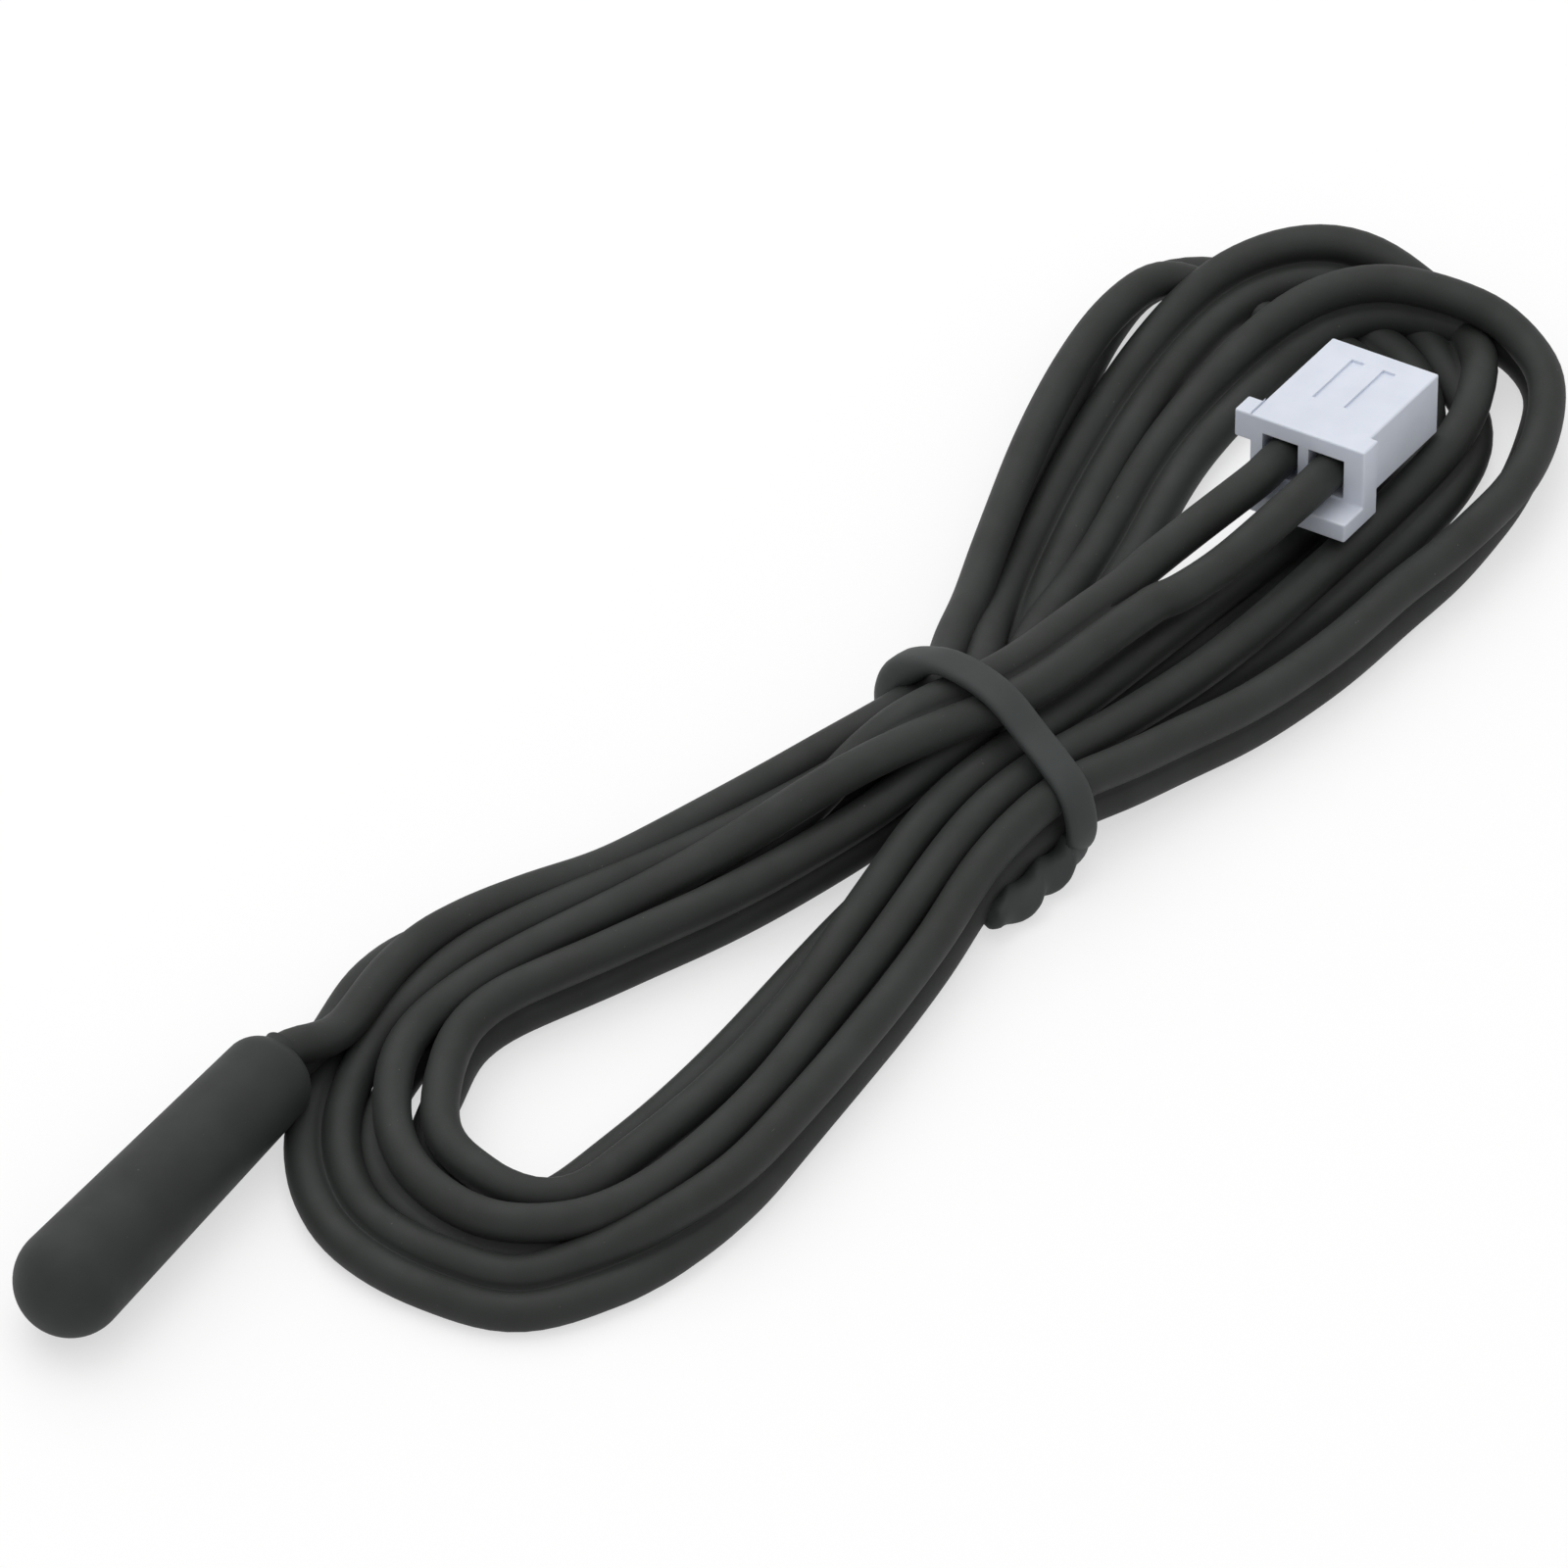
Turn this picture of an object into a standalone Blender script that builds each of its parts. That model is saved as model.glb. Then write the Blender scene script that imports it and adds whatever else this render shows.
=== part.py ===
"""Bead thermistor probe: a moulded sensor head on a flat two-core lead, wound into a tied hank, with a two-way plug.

Units are metres and +Z is up. The origin lies on the ground under the moulded head, 10 mm from its rear end, and +X
runs along the head from its rounded tip to the lead. Sizes are written in millimetres and brought to metres by MM.
The hank has a frame of its own, flat on the ground: u runs along the hank from the head's end to the plug's end,
v across it, and its origin is the middle of the waist that the tie squeezes.
"""

import math

import bmesh
import bpy
import numpy as np
from mathutils import Matrix, Vector

MM = 0.001

# Lead: two round cores side by side in one black jacket
CORE_D = 1.8
CORE_R = CORE_D / 2
TWIN_W = 2 * CORE_D
CONDUCTOR_D = 0.58

# Moulded head, along X about its own axis
HEAD_LENGTH = 19.0
REAR_X = 10.0
TIP_X = REAR_X - HEAD_LENGTH
HEAD_R_FRONT = 2.6
HEAD_R_REAR = 2.22
SHOULDER_R = 1.5
HEAD_AXIS_Z = HEAD_R_FRONT

# Inner mould that holds the bead and its joints
INNER_R = 1.9
INNER_TIP_X = -7.3
INNER_REAR_X = 3.95
FIT_GAP = 0.05
JOINT_Y = 0.75
CHAMBER_FRONT_X = -2.5
POCKET_R = 0.9
POCKET_TIP_X = -5.5
BEAD_X = -4.35
BEAD_HALF = (1.0, 0.75, 0.75)
BEAD_WIRE_D = 0.26
SLEEVE_OD = 1.3
SLEEVE_ID = 1.0
SLEEVE_X = (-1.8, 3.4)
FERRULE_OD = 0.9
FERRULE_ID = 0.66
FERRULE_X = (-0.9, 1.5)
LEAD_END_X = 4.3

# Place of the hank: its waist in the part's frame, and its turn about Z
WAIST_XY = (42.9, -16.2)
HANK_TURN = math.radians(-15.1)

# Hank: bands of lead three or four turns wide, on edge, raised at the waist where the tie runs under them
BAND_ROUND = 0.9
WAIST_U = 1.6

# Middle line of the band at the head's end: u, v, width, height of its underside, height of its top
NEAR_BAND = (
    (-0.2, 3.3, 5.0, 1.0, 4.7),
    (-3.0, 3.5, 5.6, 0.8, 5.2),
    (-8.0, 3.7, 6.0, 0.3, 4.9),
    (-14.5, 4.4, 5.9, 0.0, 3.9),
    (-20.0, 4.4, 4.4, 0.0, 3.6),
    (-26.0, 5.1, 5.0, 0.0, 3.6),
    (-31.0, 3.9, 6.0, 0.0, 3.6),
    (-34.6, 1.1, 6.8, 0.0, 3.6),
    (-36.8, -3.2, 7.6, 0.0, 3.6),
    (-35.1, -7.6, 7.9, 0.0, 3.6),
    (-30.7, -9.6, 7.4, 0.0, 3.6),
    (-25.0, -8.7, 7.8, 0.0, 3.6),
    (-17.0, -6.3, 7.4, 0.0, 3.6),
    (-11.0, -4.8, 6.7, 0.1, 3.8),
    (-5.0, -3.0, 5.8, 0.5, 4.3),
    (-0.2, -2.1, 5.0, 1.0, 4.6),
)

# Middle line of the band at the plug's end
FAR_BAND = (
    (3.4, 3.9, 5.0, 1.0, 4.6),
    (7.4, 7.0, 6.8, 0.4, 4.2),
    (11.9, 9.1, 8.2, 0.0, 3.7),
    (17.8, 12.5, 9.4, 0.0, 3.6),
    (23.7, 15.5, 9.6, 0.0, 3.6),
    (29.0, 16.8, 9.2, 0.0, 4.1),
    (33.9, 15.2, 6.8, 0.0, 4.4),
    (36.1, 11.2, 7.0, 0.0, 4.5),
    (36.3, 6.8, 7.8, 0.0, 3.6),
    (34.5, 3.8, 7.6, 0.0, 3.25),
    (30.5, 1.7, 7.8, 0.0, 3.2),
    (25.0, 0.6, 8.2, 0.0, 3.3),
    (18.5, -0.5, 8.0, 0.0, 3.6),
    (12.0, -1.2, 7.2, 0.1, 3.75),
    (6.5, -1.6, 6.2, 0.5, 4.1),
    (3.4, -1.9, 5.0, 1.0, 4.6),
)
BAND_STEPS = 2

# Waist: outline of the squeezed bundle across the hank, v and z, with the last stretch of lead as the crown
WAIST_OUTLINE = (
    (-5.8, 2.6),
    (-5.2, 1.2),
    (-3.6, 0.96),
    (0.3, 0.94),
    (4.2, 0.96),
    (6.2, 1.3),
    (6.8, 2.8),
    (6.5, 4.6),
    (5.2, 6.1),
    (3.2, 6.4),
    (1.2, 6.0),
    (-1.0, 5.0),
    (-3.4, 4.7),
    (-5.2, 4.1),
)
WAIST_LENGTH = 4.6
TIE_WIDTH = 2.3
TIE_THICK = 0.85
TIE_MIDDLE_U = 2.3
TIE_BOW = 0.04
TIE_BOW_V = 0.8

# Free stretch of the lead from the head to the hank, on edge: first inside the head, in the part's frame,
# then beside the hank, in the hank's frame; x or u, y or v, z
HEAD_ROUTE = (
    (LEAD_END_X, 0.0, HEAD_AXIS_Z),
    (7.0, 0.0, HEAD_AXIS_Z),
    (10.2, 0.0, HEAD_AXIS_Z),
)
EXIT_ROUTE = (
    (-33.9, 7.65, 2.6),
    (-31.6, 8.2, 2.5),
    (-29.0, 8.7, 2.2),
    (-26.2, 8.95, 1.9),
    (-23.4, 8.75, 1.82),
    (-20.8, 8.25, 1.81),
    (-19.0, 7.8, 1.81),
)

# Plug housing: its rear top middle in the hank's frame (u, v, z) and its turns
PLUG_PLACE = (23.1, 3.9, 7.6)
PLUG_TURN = math.radians(16.8 - 90.0)
PLUG_DIP = math.radians(-8.0)
PLUG_ROLL = math.radians(-5.0)
PLUG_PITCH = 2.5
BODY_W = 5.8
BODY_L = 7.6
BODY_H = 3.3
FLANGE_T = 1.3
FLANGE_RIGHT = 3.3
EAR_LEFT = 3.75
EAR_H = 1.5
SKIRT_H = 0.8
TONGUE_LEFT = 2.5
TONGUE_L = 1.7
CAVITY_W = 1.94
CAVITY_TOP = 0.85
CAVITY_H = 2.1
CAVITY_END = 6.65
PIN_HOLE = 1.1
PIN_LEAD_IN = 1.5
GROOVE_W = 0.7
GROOVE_DEEP = 0.14
GROOVE_Y = (2.8, 6.5)
WINDOW_Y = (4.4, 5.7)
WINDOW_W = 1.1
CONTACT_Z = -(CAVITY_TOP + CAVITY_H / 2)

# Last stretch of the flat lead, from the tie to where its cores part, in the hank's frame: u, v, z
TAIL_ROUTE = (
    (4.05, 3.3, 5.55),
    (6.0, 3.3, 5.6),
    (8.5, 3.1, 5.4),
    (11.0, 2.85, 5.1),
    (12.6, 2.7, 4.9),
)

# Single cores from there to the plug, in the hank's frame: u, v, z
CORE_ROUTES = {
    "left": (
        (12.95, 3.6, 4.88),
        (13.5, 3.65, 4.88),
        (14.4, 4.08, 4.86),
        (16.0, 4.35, 4.9),
        (18.0, 4.6, 5.0),
    ),
    "right": (
        (12.95, 1.76, 4.88),
        (13.5, 1.72, 4.88),
        (14.4, 1.58, 4.86),
        (16.0, 1.65, 4.9),
        (18.0, 1.9, 5.0),
    ),
}
CRIMPED_CORE = 0.74
CURVE_STEPS = 3


def clear_scene():
    for thing in list(bpy.data.objects):
        bpy.data.objects.remove(thing, do_unlink=True)


def finish(name, colour, roughness, metallic=0.0):
    """A plain Principled finish."""
    made = bpy.data.materials.new(name)
    made.use_nodes = True
    shader = made.node_tree.nodes["Principled BSDF"]
    shader.inputs["Base Color"].default_value = (*colour, 1.0)
    shader.inputs["Roughness"].default_value = roughness
    shader.inputs["Metallic"].default_value = metallic
    return made


def empty(name, matrix):
    holder = bpy.data.objects.new(name, None)
    bpy.context.collection.objects.link(holder)
    holder.matrix_world = matrix
    return holder


def keep(name, bm, look, parent=None, smooth_angle=35.0):
    """Turns a bmesh into a named object, shaded smooth between its sharp edges."""
    bmesh.ops.recalc_face_normals(bm, faces=bm.faces)
    mesh = bpy.data.meshes.new(name)
    bm.to_mesh(mesh)
    bm.free()
    mesh.shade_smooth()
    mesh.set_sharp_from_angle(angle=math.radians(smooth_angle))
    mesh.materials.append(look)
    thing = bpy.data.objects.new(name, mesh)
    bpy.context.collection.objects.link(thing)
    if parent:
        thing.parent = parent
    return thing


def as_guide(thing):
    thing.hide_render = True
    thing.display_type = "WIRE"
    return thing


def combine(target, tool, operation):
    """Joins a tool to the target, or cuts it away, with an exact Boolean."""
    as_guide(tool)
    step = target.modifiers.new(f"{operation.lower()}_{tool.name}", "BOOLEAN")
    step.operation = operation
    step.solver = "EXACT"
    step.object = tool
    return target


def turned(profile, steps=32):
    """Spins an (x, radius) profile, in millimetres, round the X axis; ends on the axis close by themselves."""
    bm = bmesh.new()
    rim = [bm.verts.new((x * MM, 0.0, r * MM)) for x, r in profile]
    edges = [bm.edges.new((a, b)) for a, b in zip(rim, rim[1:])]
    bmesh.ops.spin(bm, geom=rim + edges, cent=(0, 0, 0), axis=(1, 0, 0), angle=2 * math.pi, steps=steps, use_merge=True)
    bmesh.ops.remove_doubles(bm, verts=bm.verts, dist=1e-7)
    return bm


def tube_profile(x0, x1, outer, inner):
    """A plain tube's section as a closed (x, radius) loop."""
    return [(x0, outer), (x1, outer), (x1, inner), (x0, inner), (x0, outer)]


def arc(centre, radius, start, end, steps):
    """Points (x, r) on an arc, angles in degrees from the +X direction."""
    cx, cr = centre
    angles = [math.radians(start + (end - start) * i / steps) for i in range(steps + 1)]
    return [(cx + radius * math.cos(a), cr + radius * math.sin(a)) for a in angles]


def extruded(outline, low, high, axis="z"):
    """A flat outline carried along one axis; the outline's own axes are the two others, in order."""
    places = {"x": lambda a, b, c: (c, a, b), "y": lambda a, b, c: (a, c, b), "z": lambda a, b, c: (a, b, c)}[axis]
    bm = bmesh.new()
    base = [bm.verts.new([v * MM for v in places(a, b, low)]) for a, b in outline]
    face = bm.faces.new(base)
    grown = bmesh.ops.extrude_face_region(bm, geom=[face])
    step = Vector(places(0.0, 0.0, high - low)) * MM
    bmesh.ops.translate(bm, verts=[v for v in grown["geom"] if isinstance(v, bmesh.types.BMVert)], vec=step)
    return bm


def block(x0, x1, y0, y1, z0, z1):
    return extruded([(x0, y0), (x1, y0), (x1, y1), (x0, y1)], z0, z1)


def smooth_through(points, steps, closed=False):
    """Catmull-Rom curve through the points, with `steps` stretches between each pair."""
    p = np.asarray(points, float)
    if closed:
        p = np.vstack([p[-1], p, p[:2]])
    else:
        p = np.vstack([2 * p[0] - p[1], p, 2 * p[-1] - p[-2]])
    t = (np.arange(steps) / steps)[:, None]
    parts = []
    for a, b, c, d in zip(p, p[1:], p[2:], p[3:]):
        parts.append(0.5 * (2 * b + (c - a) * t + (2 * a - 5 * b + 4 * c - d) * t**2 + (3 * b - a - 3 * c + d) * t**3))
    line = np.vstack(parts)
    return line if closed else np.vstack([line, p[-2]])


def hank_to_part(points):
    """Points (u, v, z) of the hank's frame in the part's frame, in millimetres."""
    p = np.asarray(points, float)
    c, s = math.cos(HANK_TURN), math.sin(HANK_TURN)
    x = WAIST_XY[0] + c * p[:, 0] - s * p[:, 1]
    y = WAIST_XY[1] + s * p[:, 0] + c * p[:, 1]
    return np.column_stack([x, y, p[:, 2]])


def lofted(rings, closed=False):
    """Skins rings with equal numbers of points and caps the two ends, unless the rings run in a loop."""
    bm = bmesh.new()
    rows = [[bm.verts.new(Vector(p) * MM) for p in ring] for ring in rings]
    pairs = list(zip(rows, rows[1:])) + ([(rows[-1], rows[0])] if closed else [])
    for low, high in pairs:
        for i in range(len(low)):
            j = (i + 1) % len(low)
            bm.faces.new((low[i], low[j], high[j], high[i]))
    if not closed:
        bm.faces.new(rows[0])
        bm.faces.new(rows[-1])
    return bm


def round_box_section(width, height, radius, corner_steps=3):
    """Closed (across, up) outline of a box with round corners, its underside at zero."""
    points = []
    for cx, cz, start in (
        (width / 2 - radius, height - radius, 0),
        (-width / 2 + radius, height - radius, 90),
        (-width / 2 + radius, radius, 180),
        (width / 2 - radius, radius, 270),
    ):
        for i in range(corner_steps + 1):
            a = math.radians(start + 90 * i / corner_steps)
            points.append((cx + radius * math.cos(a), cz + radius * math.sin(a)))
    return points


def band(stations):
    """One loop of the hank: a round-cornered strip of turns carried along its middle line."""
    line = smooth_through(stations, BAND_STEPS)
    way = np.gradient(line[:, :2], axis=0)
    way /= np.linalg.norm(way, axis=1)[:, None]
    rings = []
    for (u, v, width, low, top), (tu, tv) in zip(line, way):
        low = max(low, 0.0)
        section = round_box_section(width, top - low, BAND_ROUND)
        rings.append(hank_to_part([(u - tv * a, v + tu * a, low + b) for a, b in section]))
    return lofted(rings)


def across_waist(outline, u0, u1):
    """The waist's (v, z) outline as rings at two places along the hank."""
    return [hank_to_part([(u, v, z) for v, z in outline]) for u in (u0, u1)]


def cable_hank(look):
    """The wound lead's outer shape: two loops that meet in the tied waist, as one solid."""
    near = keep("cable_hank", band(NEAR_BAND), look)
    far = keep("hank_far_loop", band(FAR_BAND), look)
    outline = smooth_through(WAIST_OUTLINE, 2, closed=True)
    rings = across_waist(outline, WAIST_U - WAIST_LENGTH / 2, WAIST_U + WAIST_LENGTH / 2)
    waist = keep("hank_waist", lofted(rings), look)
    combine(near, far, "UNION")
    combine(near, waist, "UNION")
    return near


def outline_offset(outline, distance):
    """Moves a closed outline outwards along its own normals; the outline runs clockwise seen from +u."""
    p = np.asarray(outline)
    way = np.roll(p, -1, axis=0) - np.roll(p, 1, axis=0)
    way /= np.linalg.norm(way, axis=1)[:, None]
    normal = np.column_stack([way[:, 1], -way[:, 0]])
    centre = p.mean(axis=0)
    if np.sum(normal * (p - centre)) < 0:
        normal = -normal
    return p + normal * distance


def tie_middle(v):
    """The tie's middle line is bowed: furthest towards the plug over the bundle's middle."""
    return TIE_MIDDLE_U - TIE_BOW * (v - TIE_BOW_V) ** 2


def tie_band(look):
    """The flat black tie: a soft-edged strip carried once round the waist."""
    path = smooth_through(WAIST_OUTLINE, 2, closed=True)
    half_w = TIE_WIDTH / 2
    edge = 0.28
    section = (
        (-half_w, 0.1 + edge),
        (-half_w + edge, 0.1),
        (half_w - edge, 0.1),
        (half_w, 0.1 + edge),
        (half_w, TIE_THICK - edge),
        (half_w - edge, TIE_THICK),
        (-half_w + edge, TIE_THICK),
        (-half_w, TIE_THICK - edge),
    )
    lines = []
    for along, out in section:
        shell = outline_offset(path, out)
        lines.append(hank_to_part([(tie_middle(v) + along, v, max(z, 0.02)) for v, z in shell]))
    rings = [[line[i] for line in lines] for i in range(len(path))]
    return keep("tie_band", lofted(rings, closed=True), look, smooth_angle=50.0)


def twin_section(steps=5):
    """Outline of the two-core lead, (across, up): two round cores with a shallow valley between them."""
    web = 0.42
    half = CORE_D / 2
    open_angle = math.degrees(math.asin(web / CORE_R))
    points = []
    for centre, start in ((half, -180 + open_angle), (-half, open_angle)):
        for i in range(2 * steps + 1):
            a = math.radians(start + (360 - 2 * open_angle) * i / (2 * steps))
            points.append((centre + CORE_R * math.cos(a), CORE_R * math.sin(a)))
    return points


def flat_lead(name, route, look, on_edge=False):
    """A free stretch of the flat lead, its two cores side by side or one above the other."""
    line = smooth_through(route, CURVE_STEPS)
    way = np.gradient(line, axis=0)
    way /= np.linalg.norm(way, axis=1)[:, None]
    rings = []
    for point, tangent in zip(line, way):
        side = np.cross((0.0, 0.0, 1.0), tangent)
        side /= np.linalg.norm(side)
        up = np.cross(tangent, side)
        if on_edge:
            side, up = up, -side
        rings.append([point + side * a + up * b for a, b in twin_section()])
    return keep(name, lofted(rings), look, smooth_angle=50.0)


def curve_cord(name, points, radii, look, diameter, parent=None, resolution=2):
    """A round cord as a Blender curve with filled ends; radii scale its bevel from point to point."""
    data = bpy.data.curves.new(name, "CURVE")
    data.dimensions = "3D"
    data.bevel_depth = diameter / 2 * MM
    data.bevel_resolution = resolution
    data.use_fill_caps = True
    spline = data.splines.new("POLY")
    spline.points.add(len(points) - 1)
    for knot, place, radius in zip(spline.points, points, radii):
        knot.co = (*(Vector(place) * MM), 1.0)
        knot.radius = radius
    data.materials.append(look)
    thing = bpy.data.objects.new(name, data)
    bpy.context.collection.objects.link(thing)
    if parent:
        thing.parent = parent
    return thing


def head_mould(look, frame):
    """Bullet-shaped over-mould: round tip, slight draft, round rear shoulder, cut out for the inner mould and lead."""
    front = TIP_X + HEAD_R_FRONT
    flat = HEAD_R_REAR - SHOULDER_R
    profile = arc((front, 0.0), HEAD_R_FRONT, 180, 90, 9)
    profile += arc((REAR_X - SHOULDER_R, flat), SHOULDER_R, 90, 0, 5)
    profile += [(REAR_X, 0.0)]
    mould = keep("head_mould", turned(profile), look, frame)
    room = INNER_R + FIT_GAP
    hollow = arc((INNER_TIP_X + INNER_R, 0.0), room, 180, 90, 7) + [(INNER_REAR_X + FIT_GAP, room)]
    hollow += [(INNER_REAR_X + FIT_GAP, 0.0)]
    combine(mould, keep("mould_hollow", turned(hollow, 24), look, frame), "DIFFERENCE")
    slot = stadium(TWIN_W + 2 * FIT_GAP, CORE_D + 2 * FIT_GAP, 6)
    cutter = keep("mould_slot", extruded(slot, INNER_REAR_X - 0.5, REAR_X + 1.0, "x"), look, frame)
    return combine(mould, cutter, "DIFFERENCE")


def stadium(width, height, steps):
    """Outline with straight long sides and round ends."""
    radius = height / 2
    half = width / 2 - radius
    points = []
    for centre, start in ((half, -90), (-half, 90)):
        for i in range(steps + 1):
            a = math.radians(start + 180 * i / steps)
            points.append((centre + radius * math.cos(a), radius * math.sin(a)))
    return points


def inner_mould(look, frame):
    """First-shot mould: a smaller bullet with a pocket for the bead and a chamber for the two joints."""
    profile = arc((INNER_TIP_X + INNER_R, 0.0), INNER_R, 180, 90, 7) + [(INNER_REAR_X, INNER_R), (INNER_REAR_X, 0.0)]
    mould = keep("inner_mould", turned(profile, 24), look, frame)
    chamber = stadium(2 * JOINT_Y + SLEEVE_OD + 2 * FIT_GAP, SLEEVE_OD + 2 * FIT_GAP, 8)
    cutter = keep("joint_chamber", extruded(chamber, CHAMBER_FRONT_X, INNER_REAR_X + 1.0, "x"), look, frame)
    combine(mould, cutter, "DIFFERENCE")
    pocket = arc((POCKET_TIP_X + POCKET_R, 0.0), POCKET_R, 180, 90, 5)
    pocket += [(CHAMBER_FRONT_X + 0.2, POCKET_R), (CHAMBER_FRONT_X + 0.2, 0.0)]
    return combine(mould, keep("bead_pocket", turned(pocket, 20), look, frame), "DIFFERENCE")


def bead(look, frame):
    """Resin-dipped bead, a little longer than it is thick."""
    bm = bmesh.new()
    bmesh.ops.create_uvsphere(bm, u_segments=16, v_segments=10, radius=1.0)
    bmesh.ops.scale(bm, vec=Vector(BEAD_HALF) * MM, verts=bm.verts)
    bmesh.ops.translate(bm, vec=(BEAD_X * MM, 0, 0), verts=bm.verts)
    return keep("thermistor_bead", bm, look, frame, 60.0)


def joint_side(side, sign, looks, frame):
    """One bead wire, its crimped joint, the sleeve over it and the bare end of the lead's conductor."""
    y = sign * JOINT_Y
    offset = 0.25
    start = BEAD_X + BEAD_HALF[0] * math.sqrt(1 - (offset / BEAD_HALF[1]) ** 2) + 0.03
    wire = smooth_through(
        [(start, sign * offset, 0), (-2.9, sign * 0.36, 0), (-2.2, sign * 0.66, 0), (-1.5, y, 0), (-0.2, y, 0)], 2
    )
    curve_cord(f"bead_wire_{side}", wire, [1.0] * len(wire), looks["tinned"], BEAD_WIRE_D, frame, 1)
    for name, span, outer, inner, look in (
        (f"joint_ferrule_{side}", FERRULE_X, FERRULE_OD, FERRULE_ID, looks["tinned"]),
        (f"joint_sleeve_{side}", SLEEVE_X, SLEEVE_OD, SLEEVE_ID, looks["sleeve"]),
    ):
        bm = turned(tube_profile(*span, outer / 2, inner / 2), 16)
        bmesh.ops.translate(bm, vec=(0, y * MM, 0), verts=bm.verts)
        keep(name, bm, look, frame)
    bare = smooth_through(
        [(LEAD_END_X - 0.04, sign * CORE_R, 0), (3.4, sign * 0.8, 0), (2.4, y, 0), (0.3, y, 0)], 2
    )
    curve_cord(f"conductor_{side}", bare, [1.0] * len(bare), looks["copper"], CONDUCTOR_D, frame, 1)


def plug_matrix():
    """Where the plug lies: x across it, y out of its mating face, z out of its grooved side."""
    place = hank_to_part([PLUG_PLACE])[0] * MM
    turn = Matrix.Rotation(HANK_TURN + PLUG_TURN, 4, "Z")
    dip = Matrix.Rotation(PLUG_DIP, 4, "X")
    roll = Matrix.Rotation(PLUG_ROLL, 4, "Y")
    return Matrix.Translation(place) @ turn @ dip @ roll


def plug_housing(look, frame):
    """White housing: rear flange with an ear and a tongue, two cavities, pin holes, windows and top grooves."""
    half_b, right = BODY_W / 2, FLANGE_RIGHT
    plan = [
        (-half_b, 0.0), (right, 0.0), (right, FLANGE_T), (half_b, FLANGE_T),
        (half_b, BODY_L), (-half_b, BODY_L),
    ]
    body = keep("plug_housing", extruded(plan, -BODY_H, 0.0), look, frame)
    ear = block(-EAR_LEFT, -half_b + 0.3, 0.0, FLANGE_T, -EAR_H, 0.0)
    combine(body, keep("plug_ear", ear, look, frame), "UNION")
    skirt = [
        (-half_b, 0.0), (-TONGUE_LEFT, 0.0), (-TONGUE_LEFT, -TONGUE_L), (right, -TONGUE_L),
        (right, FLANGE_T), (-half_b, FLANGE_T),
    ]
    combine(body, keep("plug_skirt", extruded(skirt, -BODY_H - SKIRT_H, -BODY_H + 0.2), look, frame), "UNION")
    soften = body.modifiers.new("soft_edges", "BEVEL")
    soften.width = 0.14 * MM
    soften.segments = 2
    soften.limit_method = "ANGLE"
    soften.angle_limit = math.radians(40)
    for side, sign in (("left", -1), ("right", 1)):
        x = sign * PLUG_PITCH / 2
        low = -(CAVITY_TOP + CAVITY_H)
        cavity = block(x - CAVITY_W / 2, x + CAVITY_W / 2, -0.5, CAVITY_END, low, -CAVITY_TOP)
        combine(body, keep(f"cavity_{side}", cavity, look, frame), "DIFFERENCE")
        hole = pin_hole(x)
        combine(body, keep(f"pin_hole_{side}", hole, look, frame), "DIFFERENCE")
        window = block(x - WINDOW_W / 2, x + WINDOW_W / 2, *WINDOW_Y, -BODY_H - 0.5, low + 0.2)
        combine(body, keep(f"window_{side}", window, look, frame), "DIFFERENCE")
        gx = sign * 0.85
        groove = block(gx - GROOVE_W / 2, gx + GROOVE_W / 2, *GROOVE_Y, -GROOVE_DEEP, 0.4)
        combine(body, keep(f"groove_{side}", groove, look, frame), "DIFFERENCE")
    return body


def pin_hole(x):
    """A square hole for a header pin, flared at the mating face."""
    rings = []
    for y, size in (
        (CAVITY_END - 0.3, PIN_HOLE),
        (BODY_L - 0.35, PIN_HOLE),
        (BODY_L + 0.05, PIN_LEAD_IN),
        (BODY_L + 0.3, PIN_LEAD_IN),
    ):
        h = size / 2
        rings.append([(x + a, y, CONTACT_Z + b) for a, b in ((-h, -h), (h, -h), (h, h), (-h, h))])
    return lofted(rings)


def bent_strip(width, height, lip, turn_in, thick, z0):
    """Section of a folded contact: floor, two walls and lips that fold in at the top, as a closed (x, z) outline."""
    middle = [(-width / 2 + lip, z0 + height - turn_in), (-width / 2 + lip * 0.35, z0 + height), (-width / 2, z0 + height - 0.12)]
    middle += [(-width / 2, z0 + 0.16), (-width / 2 + 0.16, z0)]
    line = np.array(middle + [(-x, z) for x, z in reversed(middle)])
    way = np.gradient(line, axis=0)
    way /= np.linalg.norm(way, axis=1)[:, None]
    normal = np.column_stack([-way[:, 1], way[:, 0]])
    return np.vstack([line + normal * thick / 2, (line - normal * thick / 2)[::-1]])


def plug_contact(side, sign, look, frame):
    """Crimp contact folded from one strip: wire grips at the rear, a box for the header pin in front."""
    x = sign * PLUG_PITCH / 2
    thick = 0.15
    floor = CONTACT_Z - 0.86
    stations = (
        (1.0, 1.70, 1.70, 0.62, 0.10),
        (2.0, 1.70, 1.70, 0.62, 0.10),
        (2.15, 1.10, 0.75, 0.10, 0.05),
        (2.5, 1.00, 0.75, 0.10, 0.05),
        (2.65, 0.96, 1.02, 0.36, 0.08),
        (3.7, 0.96, 1.02, 0.36, 0.08),
        (3.85, 1.00, 0.60, 0.10, 0.05),
        (4.15, 1.30, 0.60, 0.10, 0.05),
        (4.3, 1.66, 1.66, 0.70, 0.02),
        (6.5, 1.66, 1.66, 0.70, 0.02),
    )
    rings = []
    for y, width, height, lip, turn_in in stations:
        lift = floor + thick / 2 if height > 1.2 else CONTACT_Z - 0.45
        outline = bent_strip(width, height, lip, turn_in, thick, lift)
        rings.append([(x + a, y, b) for a, b in outline])
    return keep(f"plug_contact_{side}", lofted(rings), look, frame, 30.0)


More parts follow.
